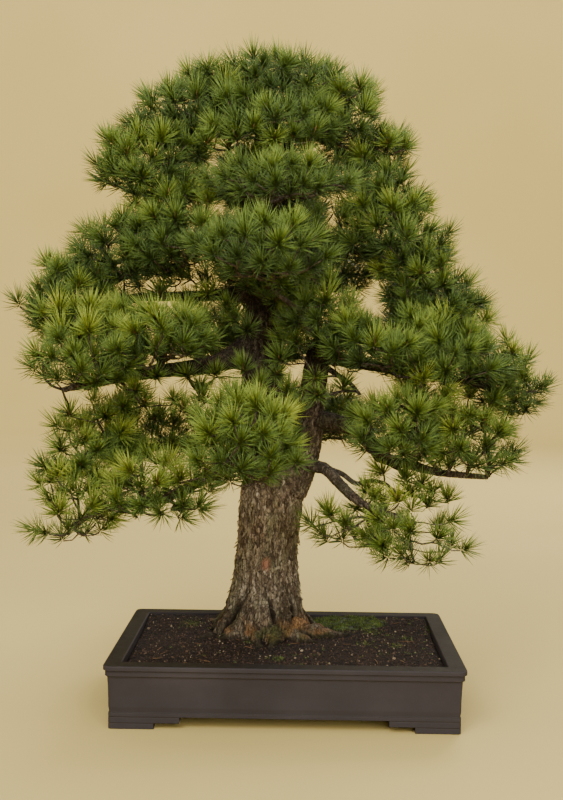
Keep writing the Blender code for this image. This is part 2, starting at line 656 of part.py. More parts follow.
def make_wood(parts, cutters, base):
    """Trunk, leader and branches. Returns the clearance bodies that other pieces are cut by."""
    material = new_material("bark", BARK)
    clearances = []
    for name in LIMBS:
        stations = limb_stations(name)
        limb = add_object(name, tube_mesh(name, stations, sides_of(name)), parts, base, material)
        cut_clear(limb, clearances)
        shade_smooth(limb)
        grown = tube_mesh(f"{name}_clearance", stations, sides_of(name), CLEARANCE)
        clearances.append(make_helper(add_object(f"{name}_clearance", grown, cutters)))
    return clearances


def add_roots(trunk, cutters):
    """Joins the surface roots to the trunk, and returns their clearance bodies."""
    clearances = []
    for index in range(ROOT_COUNT):
        stations = root_stations(index)
        root = add_object(f"root_{index}", tube_mesh(f"root_{index}", stations, MIN_SIDES), cutters)
        combine(trunk, make_helper(root), "UNION")
        grown = tube_mesh(f"root_{index}_clearance", stations, MIN_SIDES, CLEARANCE)
        clearances.append(make_helper(add_object(f"root_{index}_clearance", grown, cutters)))
    return clearances


# ---- needles ----


def make_pads(wood_clearances, parts, cutters, base):
    material = new_material("pine_needles", NEEDLES)
    pad_clearances = []
    for name, (x, y, height, half_width, half_depth, rise, sink) in PADS.items():
        scale = TREE_HEIGHT
        shape = ((x, y, LAYOUT_SOIL + height), place(x, y, height),
                 (half_width * scale, half_depth * scale), rise * scale, sink * scale)
        pad = add_object(name, dome_mesh(name, *shape), parts, base, material)
        cut_clear(pad, wood_clearances + pad_clearances)
        shade_smooth(pad)
        grown = dome_mesh(f"{name}_clearance", *shape, grow=CLEARANCE)
        pad_clearances.append(make_helper(add_object(f"{name}_clearance", grown, cutters)))


def main():
    clear_scene()
    parts = new_collection("bonsai")
    cutters = new_collection("cutters")
    base = bpy.data.objects.new("bonsai_base", None)
    parts.objects.link(base)
    make_pot(parts, cutters, base)
    plastic = new_material("mesh_plastic", MESH_PLASTIC)
    aluminium = new_material("clip_aluminium", CLIP_ALUMINIUM, metallic=1.0)
    for side, x in drain_centres().items():
        make_drain_mesh(side, x, parts, cutters, base, plastic)
        make_clip(side, x, parts, base, aluminium)
    make_gravel(parts, cutters, base)
    soil = make_soil(parts, base)
    moss = make_moss(soil, parts, cutters, base)
    wood_clearances = make_wood(parts, cutters, base)
    root_clearances = add_roots(bpy.data.objects["trunk"], cutters)
    for filling in (soil, moss):
        cut_clear(filling, wood_clearances + root_clearances)
    make_pads(wood_clearances, parts, cutters, base)


main()
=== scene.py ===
"""A formal upright pine bonsai in a shallow clay pot: the looks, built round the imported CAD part.

Metres, +Z up, in the frame of the CAD part. Needles, twigs, bark, soil and moss are grown on the CAD solids:
each tuft of needles sits just inside the skin of its CAD pad, and twigs join it to the nearest CAD branch.
"""

import math

import bpy
import numpy as np
from mathutils import Matrix, Vector, noise
from mathutils.bvhtree import BVHTree
from mathutils.kdtree import KDTree


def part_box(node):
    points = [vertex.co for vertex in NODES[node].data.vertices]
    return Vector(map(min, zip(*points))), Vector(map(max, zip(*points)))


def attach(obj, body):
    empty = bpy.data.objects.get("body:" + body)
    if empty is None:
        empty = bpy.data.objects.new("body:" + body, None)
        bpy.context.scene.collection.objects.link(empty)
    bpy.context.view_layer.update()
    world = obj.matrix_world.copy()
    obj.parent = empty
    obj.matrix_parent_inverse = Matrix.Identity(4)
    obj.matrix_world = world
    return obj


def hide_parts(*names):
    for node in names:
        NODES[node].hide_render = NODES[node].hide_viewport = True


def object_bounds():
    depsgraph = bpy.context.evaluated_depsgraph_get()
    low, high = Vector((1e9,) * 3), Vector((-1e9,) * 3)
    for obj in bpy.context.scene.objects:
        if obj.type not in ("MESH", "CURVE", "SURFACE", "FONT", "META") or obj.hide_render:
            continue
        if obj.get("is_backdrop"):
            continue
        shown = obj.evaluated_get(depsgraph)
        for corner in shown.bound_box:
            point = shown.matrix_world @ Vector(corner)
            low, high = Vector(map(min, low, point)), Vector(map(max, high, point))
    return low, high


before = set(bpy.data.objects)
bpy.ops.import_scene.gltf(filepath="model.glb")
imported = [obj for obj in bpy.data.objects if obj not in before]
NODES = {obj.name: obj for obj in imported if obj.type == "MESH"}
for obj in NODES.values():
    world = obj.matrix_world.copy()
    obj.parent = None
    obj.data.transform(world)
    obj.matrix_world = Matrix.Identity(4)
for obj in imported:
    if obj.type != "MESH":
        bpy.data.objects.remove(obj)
CAD_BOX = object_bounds()
PADS = sorted(name for name in NODES if name.startswith("pad_"))
BRANCHES = sorted(name for name in NODES if name.startswith("branch_"))
RNG = np.random.default_rng(20)
# Blender seeds the offsets of noise_vector from the clock, so they are set here too.
noise.seed_set(20)
UP = np.array([0.0, 0.0, 1.0])
TREE_AXIS = (-0.035, 0.068)

# Needle tufts: ones that stand apart on a pad's skin are given a brighter tone and ones that fill the pad
# behind them a darker one, as painted light and shade
NEEDLE_LENGTH = 0.036
NEEDLE_RADIUS = 0.00060
SKIN_NEEDLES = 88
FILL_NEEDLES = 52
SKIN_SPACING = 0.034
FILL_SPACING = 0.0255
SKIN_LAYER = 0.012
FILL_LAYER = 0.040
OUTER_DEPTH = 0.029
TOP_DEPTH = 0.030
BRIDGE_DEPTH = -0.008
BELOW_DEPTH = 0.008
RAGGED = 0.011
TUFT_TRIALS = 4200
BRIDGE_REACH = 0.035
FACES_OUT = 0.45
WOOD_CLEARANCE = 0.007
BOX_INSET = np.array([0.020, 0.022, 0.014])
SHOOT_LENGTH = 0.012
SOIL_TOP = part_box("soil")[1].z

# The healed scar low on the trunk's front: x, z, half width, half height
SCAR = (-0.036, 0.222, 0.0105, 0.0150)

# Root buttresses round the foot of the trunk
FOLD_DEPTH = 0.036
FOLD_HEIGHT = 0.115
ROOT_LOBES = 9

# Roots that run out from the trunk's foot along the soil: bearing (degrees), reach, radius, turn (degrees)
SURFACE_ROOTS = [(-24, 0.142, 0.0190, 14), (8, 0.118, 0.0110, -10), (40, 0.110, 0.0110, 12),
                 (85, 0.115, 0.0130, -14), (128, 0.112, 0.0115, 10), (165, 0.118, 0.0120, -12),
                 (200, 0.124, 0.0130, 10), (228, 0.112, 0.0110, -12), (256, 0.108, 0.0125, 12),
                 (282, 0.114, 0.0145, -8), (308, 0.122, 0.0140, 14)]

# Loose flakes of bark on the trunk, and the swollen collar where a branch leaves it
FLAKES = 2200
FLAKE_SPACING = 0.0062
COLLAR_REACH = 0.045
COLLAR_SWELL = 0.009

# How much brighter the needles of some pads are
BRIGHT_PADS = {"pad_third_left": 0.13, "pad_third_left_tip": 0.13, "pad_low_front": 0.14, "pad_apex": 0.02,
               "pad_shoulder_left": 0.02, "pad_fourth_right": 0.12, "pad_upper_front": 0.05,
               "pad_low_left": 0.17, "pad_low_left_tip": 0.17, "pad_fourth_left": 0.14,
               "pad_fourth_left_tip": 0.16, "pad_lowest_right": 0.15, "pad_lowest_right_tip": 0.15,
               "pad_fourth_right_tip": 0.11, "pad_second_left_inner": 0.03, "pad_third_front": 0.04,
               "pad_third_right": 0.05, "pad_second_right": 0.04, "pad_second_right_tip": 0.05,
               "pad_third_right_inner": 0.05, "pad_third_right_tip": 0.05}

# Pads that are thinner than the rest, with the share by which their tufts stand wider apart
OPEN_PADS = {"pad_lowest_right": 1.25, "pad_lowest_right_tip": 1.25, "pad_low_left": 1.15,
             "pad_low_left_tip": 1.2, "pad_fourth_left": 1.12, "pad_fourth_left_tip": 1.12,
             "pad_low_front": 1.08, "pad_fourth_right_tip": 1.1}

# Single tufts that hang before the trunk and beside it: x, y, z in millimetres
FRONT_TUFTS = [(-11, -48, 597), (-24, -40, 662), (33, -52, 651), (0, -50, 628), (-105, -45, 700),
               (-22, -50, 541), (43, -55, 540), (47, -62, 515), (83, -60, 517), (-3, -52, 510),
               (65, -48, 636), (-128, -75, 585), (16, -60, 592), (100, -40, 652), (-52, -52, 520),
               (-70, -46, 682), (12, -56, 690), (60, -50, 690), (-10, -70, 560), (110, -60, 480),
               (-100, -30, 655), (-135, -35, 668), (-172, -30, 650), (-85, -20, 628), (-215, -30, 668),
               (-150, -20, 632), (-60, -45, 610), (18, -75, 480), (75, -55, 575), (100, -50, 600),
               (-162, -65, 537), (-120, -45, 546), (-190, -60, 501), (-145, -55, 520), (-215, -80, 534),
               (-95, -50, 507), (-130, -70, 497), (-168, -80, 481), (-270, -60, 488), (-230, -60, 491),
               (-353, -60, 470), (-275, -105, 532), (-310, -110, 520), (-245, -90, 512), (-105, -80, 470),
               (-300, -40, 474), (-70, -60, 545), (-115, -90, 925), (-85, -100, 914), (-55, -100, 922),
               (-25, -100, 912), (5, -95, 920), (32, -90, 925), (-100, -50, 903), (-70, -45, 898),
               (-40, -50, 905), (-10, -45, 899), (20, -50, 906), (-140, -80, 915), (-298, -20, 922),
               (-303, -20, 900), (-298, -30, 876), (-280, -40, 862), (-284, -50, 905), (-262, -50, 886),
               (-255, -60, 862), (-235, -60, 852), (241, -55, 352), (214, -60, 362), (188, -58, 370),
               (156, -50, 384), (196, -52, 350), (262, -55, 340), (225, -65, 330), (128, -45, 352)]

# Single tufts in the shade between the trunk and the pads at the back: x, y, z in millimetres
BACK_TUFTS = [(-85, 118, 838), (-48, 124, 862), (-12, 120, 846), (24, 118, 828), (-66, 128, 810),
              (-30, 122, 790), (8, 128, 802), (44, 116, 788), (-100, 120, 780), (-72, 118, 752),
              (-18, 124, 756), (26, 122, 744), (-52, 126, 722), (50, 126, 716), (2, 118, 706),
              (-86, 122, 690), (-40, 120, 884), (-4, 116, 878), (-76, 114, 872)]

# Thin bare branches under the lower right pads: x, y, z, radius
BARE_BRANCHES = [
    [(0.062, 0.004, 0.388, 0.0048), (0.090, -0.010, 0.380, 0.0043), (0.112, -0.022, 0.366, 0.0040),
     (0.135, -0.030, 0.371, 0.0036), (0.158, -0.040, 0.369, 0.0032), (0.176, -0.050, 0.356, 0.0028),
     (0.190, -0.050, 0.355, 0.0024), (0.214, -0.055, 0.349, 0.0020), (0.241, -0.050, 0.342, 0.0014)],
    [(0.160, -0.010, 0.412, 0.0036), (0.172, -0.020, 0.396, 0.0032), (0.191, -0.030, 0.386, 0.0026),
     (0.196, -0.045, 0.368, 0.0018)],
    [(0.045, 0.020, 0.560, 0.0060), (0.062, -0.004, 0.556, 0.0052), (0.080, -0.030, 0.545, 0.0044),
     (0.100, -0.046, 0.532, 0.0036), (0.115, -0.060, 0.515, 0.0026)],
    [(-0.062, 0.030, 0.720, 0.0045), (-0.080, -0.010, 0.700, 0.0036), (-0.062, -0.044, 0.694, 0.0030),
     (-0.036, -0.050, 0.706, 0.0022)],
    [(0.010, 0.030, 0.712, 0.0045), (0.004, -0.020, 0.694, 0.0036), (0.026, -0.048, 0.700, 0.0028),
     (0.052, -0.050, 0.716, 0.0020)],
]

# Branches that carry sprays of needles between the pads
SPRAYED = ("branch_left_mid", "branch_left_second", "branch_left_top", "branch_left_low_back",
           "branch_right_top", "branch_right_upper", "branch_right_long", "branch_front_low",
           "branch_front_mid", "branch_back_low", "branch_back_mid")
SPRAYS_PER_BRANCH = 160
SPRAY_SPACING = 0.027

# Soil, moss and litter. The soil rises to the back of the pot, from BANK_START on the y axis, by BANK_RISE.
# A spot of moss is x, y, reach and how many blades it has.
SOIL_CELL = 0.0022
BANK_START = 0.02
BANK_RISE = 0.008
GRAINS = 9000
MOSS_BLADES = 9000
MOSS_SPOTS = [(-0.170, 0.095, 0.020, 260), (-0.012, -0.104, 0.010, 120), (0.252, 0.088, 0.006, 60),
              (0.185, -0.020, 0.012, 90), (0.130, -0.010, 0.014, 110), (0.205, 0.030, 0.012, 90),
              (0.035, 0.135, 0.018, 200), (-0.105, 0.020, 0.010, 70), (0.150, 0.060, 0.020, 160),
              (0.050, 0.030, 0.014, 160), (0.074, 0.052, 0.016, 220), (0.100, 0.070, 0.016, 200),
              (-0.062, -0.012, 0.008, 80), (0.030, 0.006, 0.010, 90)]

# ---- arrays and meshes ----


def unit(vectors):
    """Vectors scaled to length one, along the last axis."""
    vectors = np.asarray(vectors, float)
    return vectors / np.maximum(np.linalg.norm(vectors, axis=-1, keepdims=True), 1e-12)


def vertex_rows(mesh, key):
    """A row for each vertex of a mesh: key is co or normal."""
    rows = np.empty(len(mesh.vertices) * 3, np.float32)
    mesh.vertices.foreach_get(key, rows)
    return rows.reshape(-1, 3)


def mesh_arrays(mesh):
    """(points, triangles) of a mesh."""
    mesh.calc_loop_triangles()
    faces = np.empty(len(mesh.loop_triangles) * 3, np.int32)
    mesh.loop_triangles.foreach_get("vertices", faces)
    return vertex_rows(mesh, "co").astype(float), faces.reshape(-1, 3)


def joined_arrays(meshes):
    """(points, triangles) of several meshes together."""
    points, faces, start = [], [], 0
    for mesh in meshes:
        p, f = mesh_arrays(mesh)
        points.append(p)
        faces.append(f + start)
        start += len(p)
    return np.concatenate(points), np.concatenate(faces)


def tree_of(points, faces):
    return BVHTree.FromPolygons([tuple(p) for p in points], [tuple(int(i) for i in f) for f in faces])


def noise_at(points, scale, shift=0.0):
    """Smooth noise at each point."""
    return np.array([noise.noise(Vector(point) * scale + Vector((shift, 0.0, 0.0))) for point in points])


def repeated(pattern, count, each):
    """The pattern's faces on every one of count copies of a shape that has each points."""
    return ((np.arange(count) * each)[:, None, None] + np.array(pattern)[None]).reshape(-1, len(pattern[0]))


def grid_faces(rows, columns):
    """(the faces of a grid of points, the points round its border)."""
    index = np.arange(rows * columns).reshape(rows, columns)
    faces = np.stack([index[:-1, :-1], index[:-1, 1:], index[1:, 1:], index[1:, :-1]], -1).reshape(-1, 4)
    return faces, np.concatenate([index[0, :-1], index[:-1, -1], index[-1, :0:-1], index[:0:-1, 0]])


def link(name, data):
    """A new object with this data, in the scene."""
    made = bpy.data.objects.new(name, data)
    bpy.context.scene.collection.objects.link(made)
    return made


def new_piece(name, points, faces, material, replaces=(), smooth=True):
    """A mesh object from arrays, riding on the part's one body. faces is one array of equal-sized faces."""
    points = np.asarray(points, np.float32)
    faces = np.asarray(faces, np.int32)
    mesh = bpy.data.meshes.new(name)
    mesh.vertices.add(len(points))
    mesh.vertices.foreach_set("co", points.reshape(-1))
    mesh.loops.add(faces.size)
    mesh.loops.foreach_set("vertex_index", faces.reshape(-1))
    mesh.polygons.add(len(faces))
    mesh.polygons.foreach_set("loop_start", np.arange(len(faces), dtype=np.int32) * faces.shape[1])
    mesh.update(calc_edges=True)
    mesh.polygons.foreach_set("use_smooth", np.full(len(faces), smooth))
    mesh.materials.append(material)
    return adopt(link(name, mesh), replaces)


def adopt(piece, replaces=()):
    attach(piece, "root")
    if replaces:
        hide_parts(*replaces)
    return piece


def set_attribute(mesh, name, values):
    attribute = mesh.attributes.new(name, "FLOAT", "POINT")
    attribute.data.foreach_set("value", np.asarray(values, np.float32))


# ---- materials ----


def new_material(name):
    material = bpy.data.materials.new(name)
    material.use_nodes = True
    return material, material.node_tree, material.node_tree.nodes["Principled BSDF"]


def add_node(tree, kind, inputs=None, **settings):
    """A shader node. inputs maps a socket's name or number to a value or to another node's output."""
    made = tree.nodes.new("ShaderNode" + kind)
    for key, value in settings.items():
        setattr(made, key, value)
    for key, value in (inputs or {}).items():
        if isinstance(value, bpy.types.NodeSocket):
            tree.links.new(value, made.inputs[key])
        else:
            made.inputs[key].default_value = value
    return made


def ramp(tree, factor, stops):
    """A colour ramp's output: stops are (place, (r, g, b)) or (place, grey)."""
    made = add_node(tree, "ValToRGB", {"Fac": factor})
    elements = made.color_ramp.elements
    while len(elements) < len(stops):
        elements.new(0.5)
    for element, (place, colour) in zip(elements, stops):
        element.position = place
        element.color = (*(colour if isinstance(colour, tuple) else (colour,) * 3), 1.0)
    return made.outputs["Color"]


def mix(tree, factor, first, second, blend="MIX"):
    """Two colours mixed: the factor and the colours are values or other nodes' outputs."""
    made = add_node(tree, "Mix", data_type="RGBA", blend_type=blend)
    for key, value in ((0, factor), (6, first), (7, second)):
        if isinstance(value, bpy.types.NodeSocket):
            tree.links.new(value, made.inputs[key])
        else:
            made.inputs[key].default_value = value if key == 0 else (*value, 1.0)
    return made.outputs[2]


def calc(tree, operation, first, second):
    """A Math node's output: each side is a number or another node's output."""
    return add_node(tree, "Math", {0: first, 1: second}, operation=operation).outputs[0]


def attribute(tree, name):
    """The value of a mesh attribute in a shader."""
    return add_node(tree, "Attribute", attribute_name=name).outputs["Fac"]


def part(tree, vector, axis):
    """One axis of a vector."""
    return add_node(tree, "SeparateXYZ", {"Vector": vector}).outputs[axis]


def plus(tree, value, factor, constant):
    """value * factor + constant, where constant may be a number or another node's output."""
    made = add_node(tree, "Math", {0: value, 1: factor, 2: constant}, operation="MULTIPLY_ADD")
    return made.outputs[0]


def object_coordinates(tree, scale=(1.0, 1.0, 1.0)):
    source = add_node(tree, "TexCoord").outputs["Object"]
    return add_node(tree, "Mapping", {"Vector": source, "Scale": scale}).outputs["Vector"]


def noise_value(tree, vector, scale, detail=4.0, roughness=0.55):
    made = add_node(tree, "TexNoise", {"Vector": vector, "Scale": scale, "Detail": detail,
                                       "Roughness": roughness})
    return made.outputs["Fac"]


def bump(tree, height, strength, distance, normal=None):
    made = add_node(tree, "Bump", {"Height": height, "Strength": strength, "Distance": distance})
    if normal is not None:
        tree.links.new(normal, made.inputs["Normal"])
    return made.outputs["Normal"]


def needle_material():
    """Colour comes from the strip map: across it the needle's tone, which holds painted light and shade, up
    it the way from base to tip.
    """
    material, tree, shader = new_material("pine_needle")
    strip = add_node(tree, "UVMap", uv_map="OFBake").outputs["UV"]
    tone, along = part(tree, strip, "X"), part(tree, strip, "Y")
    green = ramp(tree, tone, [(0.0, (0.022, 0.043, 0.013)), (0.28, (0.051, 0.094, 0.023)),
                              (0.55, (0.104, 0.173, 0.033)), (0.78, (0.188, 0.270, 0.042)),
                              (1.0, (0.350, 0.412, 0.058))])
    shade = ramp(tree, along, [(0.0, (0.42, 0.30, 0.16)), (0.07, (0.80, 0.78, 0.50)),
                               (0.30, (1.0, 1.0, 0.92)), (0.85, (1.05, 1.02, 0.95)),
                               (1.0, (1.35, 1.10, 0.70))])
    tree.links.new(mix(tree, 1.0, green, shade, "MULTIPLY"), shader.inputs["Base Color"])
    tree.links.new(plus(tree, along, 0.12, 0.42), shader.inputs["Roughness"])
    shader.inputs["Specular IOR Level"].default_value = 0.28
    return material


def bud_material():
    material, tree, shader = new_material("winter_bud")
    where = object_coordinates(tree)
    scales = noise_value(tree, where, 900.0, 2.0)
    colour = ramp(tree, scales, [(0.3, (0.13, 0.060, 0.022)), (0.55, (0.29, 0.145, 0.050)),
                                 (0.75, (0.42, 0.270, 0.110))])
    tree.links.new(colour, shader.inputs["Base Color"])
    tree.links.new(bump(tree, scales, 0.5, 0.0006), shader.inputs["Normal"])
    shader.inputs["Roughness"].default_value = 0.6
    return material


def bark_material(name, fine, low, dark):
    """Flaky pine bark: tall thin plates from dark brown to pale grey-tan, red-brown patches and lichen.

    low and dark are how bright the wood is painted under the crown and up in it: painted shade of the crown.
    At the foot it is darker.
    """
    material, tree, shader = new_material(name)
    where = object_coordinates(tree)
    tall = object_coordinates(tree, (1.0, 1.0, 0.36))
    streak = object_coordinates(tree, (1.0, 1.0, 0.20))
    wave = add_node(tree, "TexNoise", {"Vector": where, "Scale": 70.0, "Detail": 4.0}).outputs["Color"]
    shift = add_node(tree, "VectorMath", {0: wave, 3: 0.012}, operation="SCALE").outputs["Vector"]
    bent = add_node(tree, "VectorMath", {0: tall, 1: shift}, operation="ADD").outputs["Vector"]
    cells = add_node(tree, "TexVoronoi", {"Vector": bent, "Scale": 190.0 * fine})
    pick = part(tree, cells.outputs["Color"], "X")
    edges = add_node(tree, "TexVoronoi", {"Vector": bent, "Scale": 190.0 * fine}, feature="DISTANCE_TO_EDGE")
    gap = ramp(tree, edges.outputs["Distance"], [(0.0, 1.0), (0.09, 0.0)])
    threads = noise_value(tree, streak, 420.0, 6.0, 0.72)
    grain = noise_value(tree, where, 1100.0, 4.0, 0.6)
    broad = noise_value(tree, where, 17.0, 3.0)
    mixed = calc(tree, "ADD", calc(tree, "MULTIPLY", pick, 0.34), calc(tree, "MULTIPLY", threads, 0.74))
    base = ramp(tree, mixed, [(0.30, (0.055, 0.038, 0.025)), (0.46, (0.150, 0.112, 0.075)),
                              (0.60, (0.270, 0.218, 0.152)), (0.80, (0.480, 0.420, 0.320))])
    red = ramp(tree, mixed, [(0.30, (0.070, 0.038, 0.026)), (0.55, (0.240, 0.142, 0.098)),
                             (0.80, (0.400, 0.270, 0.195))])
    redness = ramp(tree, broad, [(0.54, 0.0), (0.70, 0.7)])
    colour = mix(tree, redness, base, red)
    lichen_place = noise_value(tree, tall, 42.0, 6.0, 0.75)
    lichen = ramp(tree, lichen_place, [(0.50, 0.0), (0.62, 0.62)])
    colour = mix(tree, lichen, colour, (0.300, 0.300, 0.185))
    cloud = noise_value(tree, tall, 30.0, 2.0)
    patches = ramp(tree, cloud, [(0.34, (0.76, 0.77, 0.80)), (0.62, (1.36, 1.42, 1.55))])
    colour = mix(tree, 1.0, colour, patches, "MULTIPLY")
    scar = attribute(tree, "scar")
    colour = mix(tree, scar, colour, (0.330, 0.150, 0.105))
    root = attribute(tree, "root")
    bare = ramp(tree, threads, [(0.35, (0.200, 0.100, 0.044)), (0.60, (0.720, 0.400, 0.190))])
    colour = mix(tree, root, colour, bare)
    damp = attribute(tree, "moss")
    film = ramp(tree, grain, [(0.38, (0.050, 0.062, 0.018)), (0.62, (0.150, 0.185, 0.052))])
    colour = mix(tree, damp, colour, film)
    colour = mix(tree, calc(tree, "MULTIPLY", gap, 0.5), colour, (0.040, 0.028, 0.020))
    # This mark darkens the bark's cracks, and also the hollows between the root lobes at the foot as painted
    # shade.
    crack_and_shade = attribute(tree, "crack_and_shade")
    colour = mix(tree, crack_and_shade, colour, (0.028, 0.019, 0.013))
    # Painted shade: the bark is darker under the crown and darker still up in it. It is also darker at the
    # foot.
    crown_shade_and_dark_foot = ramp(tree, part(tree, where, "Z"), [
        (SOIL_TOP + 0.02, (0.52, 0.50, 0.45)), (SOIL_TOP + 0.10, 1.0),
        (0.33, (low, low * 0.94, low * 0.88)), (0.50, (dark, dark * 0.92, dark * 0.84))])
    colour = mix(tree, 1.0, colour, crown_shade_and_dark_foot, "MULTIPLY")
    tree.links.new(colour, shader.inputs["Base Color"])
    height = plus(tree, grain, 0.12, plus(tree, gap, -0.55, mixed))
    tree.links.new(bump(tree, height, 1.0, 0.0030 / fine), shader.inputs["Normal"])
    shader.inputs["Roughness"].default_value = 0.90
    shader.inputs["Specular IOR Level"].default_value = 0.22
    return material


def clay_material():
    """Unglazed, burnished clay: faint mottling, fine grit, paler worn edges, and darker up-facing tops,
    partly soil smudges and partly painted shade.
    """
    material, tree, shader = new_material("unglazed_clay_finish")
    where = object_coordinates(tree)
    cloud = noise_value(tree, where, 9.0, 5.0, 0.6)
    speck = noise_value(tree, where, 420.0, 3.0, 0.6)
    colour = ramp(tree, cloud, [(0.30, (0.033, 0.0290, 0.0335)), (0.55, (0.041, 0.0365, 0.0425)),
                                (0.75, (0.051, 0.0460, 0.0530))])
    flat = add_node(tree, "NewGeometry").outputs["Normal"]
    flat_up = part(tree, flat, "Z")
    # Up-facing tops are darkened: partly soil smudges, partly painted shade.
    soiled_and_shaded_top = ramp(tree, flat_up, [(0.80, 0.0), (0.97, 0.88)])
    soiled = noise_value(tree, where, 60.0, 5.0, 0.65)
    smudge_and_shade = ramp(tree, soiled, [(0.35, (0.007, 0.006, 0.0042)), (0.70, (0.021, 0.0175, 0.0125))])
    colour = mix(tree, soiled_and_shaded_top, colour, smudge_and_shade)
    dust = ramp(tree, speck, [(0.58, 0.0), (0.72, 0.35)])
    colour = mix(tree, dust, colour, (0.055, 0.047, 0.043))
    rounded = add_node(tree, "Bevel", {"Radius": 0.0016}, samples=6).outputs["Normal"]
    facing = add_node(tree, "VectorMath", {0: rounded, 1: flat}, operation="DOT_PRODUCT").outputs["Value"]
    edge = ramp(tree, facing, [(0.86, 1.0), (0.995, 0.0)])
    worn = calc(tree, "MULTIPLY", edge, 0.45)
    colour = mix(tree, worn, colour, (0.085, 0.073, 0.064))
    tree.links.new(colour, shader.inputs["Base Color"])
    shader.inputs["Specular IOR Level"].default_value = 0.06
    tree.links.new(plus(tree, cloud, 0.25, 0.52), shader.inputs["Roughness"])
    fine = bump(tree, speck, 0.18, 0.0004, rounded)
    tree.links.new(bump(tree, cloud, 0.25, 0.002, fine), shader.inputs["Normal"])
    return material


def granular_material(name, stops, scale, strength, roughness=0.95):
    """A dull granular surface whose colour changes from grain to grain."""
    material, tree, shader = new_material(name)
    where = object_coordinates(tree)
    cells = add_node(tree, "TexVoronoi", {"Vector": where, "Scale": scale})
    pick = part(tree, cells.outputs["Color"], "X")
    colour = ramp(tree, pick, stops)
    cloud = noise_value(tree, where, 14.0, 4.0)
    shade = ramp(tree, cloud, [(0.3, 0.6), (0.7, (1.2, 1.15, 1.1))])
    tree.links.new(mix(tree, 1.0, colour, shade, "MULTIPLY"), shader.inputs["Base Color"])
    grit = noise_value(tree, where, scale * 2.5, 4.0)
    tree.links.new(bump(tree, grit, strength, 0.0015), shader.inputs["Normal"])
    shader.inputs["Roughness"].default_value = roughness
    shader.inputs["Specular IOR Level"].default_value = 0.2
    return material


# ---- wood ----


def solidify_wood(name, nodes, voxel, grow, rounds):
    """One skin over several CAD wood solids, with the gaps between them closed and the facets smoothed."""
    points, faces = joined_arrays([NODES[node].data for node in nodes])
    mesh = bpy.data.meshes.new(name)
    mesh.from_pydata(points.tolist(), [], faces.tolist())
    holder = link(name, mesh)
    weld = holder.modifiers.new("weld", "WELD")
    weld.merge_threshold = 0.00001
    swell = holder.modifiers.new("swell", "DISPLACE")
    swell.strength = grow
    swell.mid_level = 0.0
    skin = holder.modifiers.new("skin", "REMESH")
    skin.mode = "VOXEL"
    skin.voxel_size = voxel
    soften = holder.modifiers.new("soften", "SMOOTH")
    soften.factor = 0.5
    soften.iterations = rounds
    graph = bpy.context.evaluated_depsgraph_get()
    made = bpy.data.meshes.new_from_object(holder.evaluated_get(graph))
    bpy.data.objects.remove(holder)
    bpy.data.meshes.remove(mesh)
    made.name = name
    return made


def bark_relief(points, plate, tall):
    """(height, crack), 0 to 1, of bark plates at each point. A plate stands proud at its lower edge."""
    heights = np.empty(len(points))
    cracks = np.empty(len(points))
    for i, point in enumerate(points):
        place = Vector((point[0] / plate, point[1] / plate, point[2] / (plate * tall)))
        place += noise.noise_vector(place * 0.7) * 0.55
        distances, cores = noise.voronoi(place)
        groove = min((distances[1] - distances[0]) / 0.25, 1.0)
        shingle = max(min(0.5 - (place.z - cores[0].z) * 0.9, 1.0), 0.0)
        loose = noise.noise(cores[0] * 3.7)
        heights[i] = groove * (0.55 + 0.35 * shingle + 0.35 * loose)
        cracks[i] = 1.0 - groove
    return heights, cracks


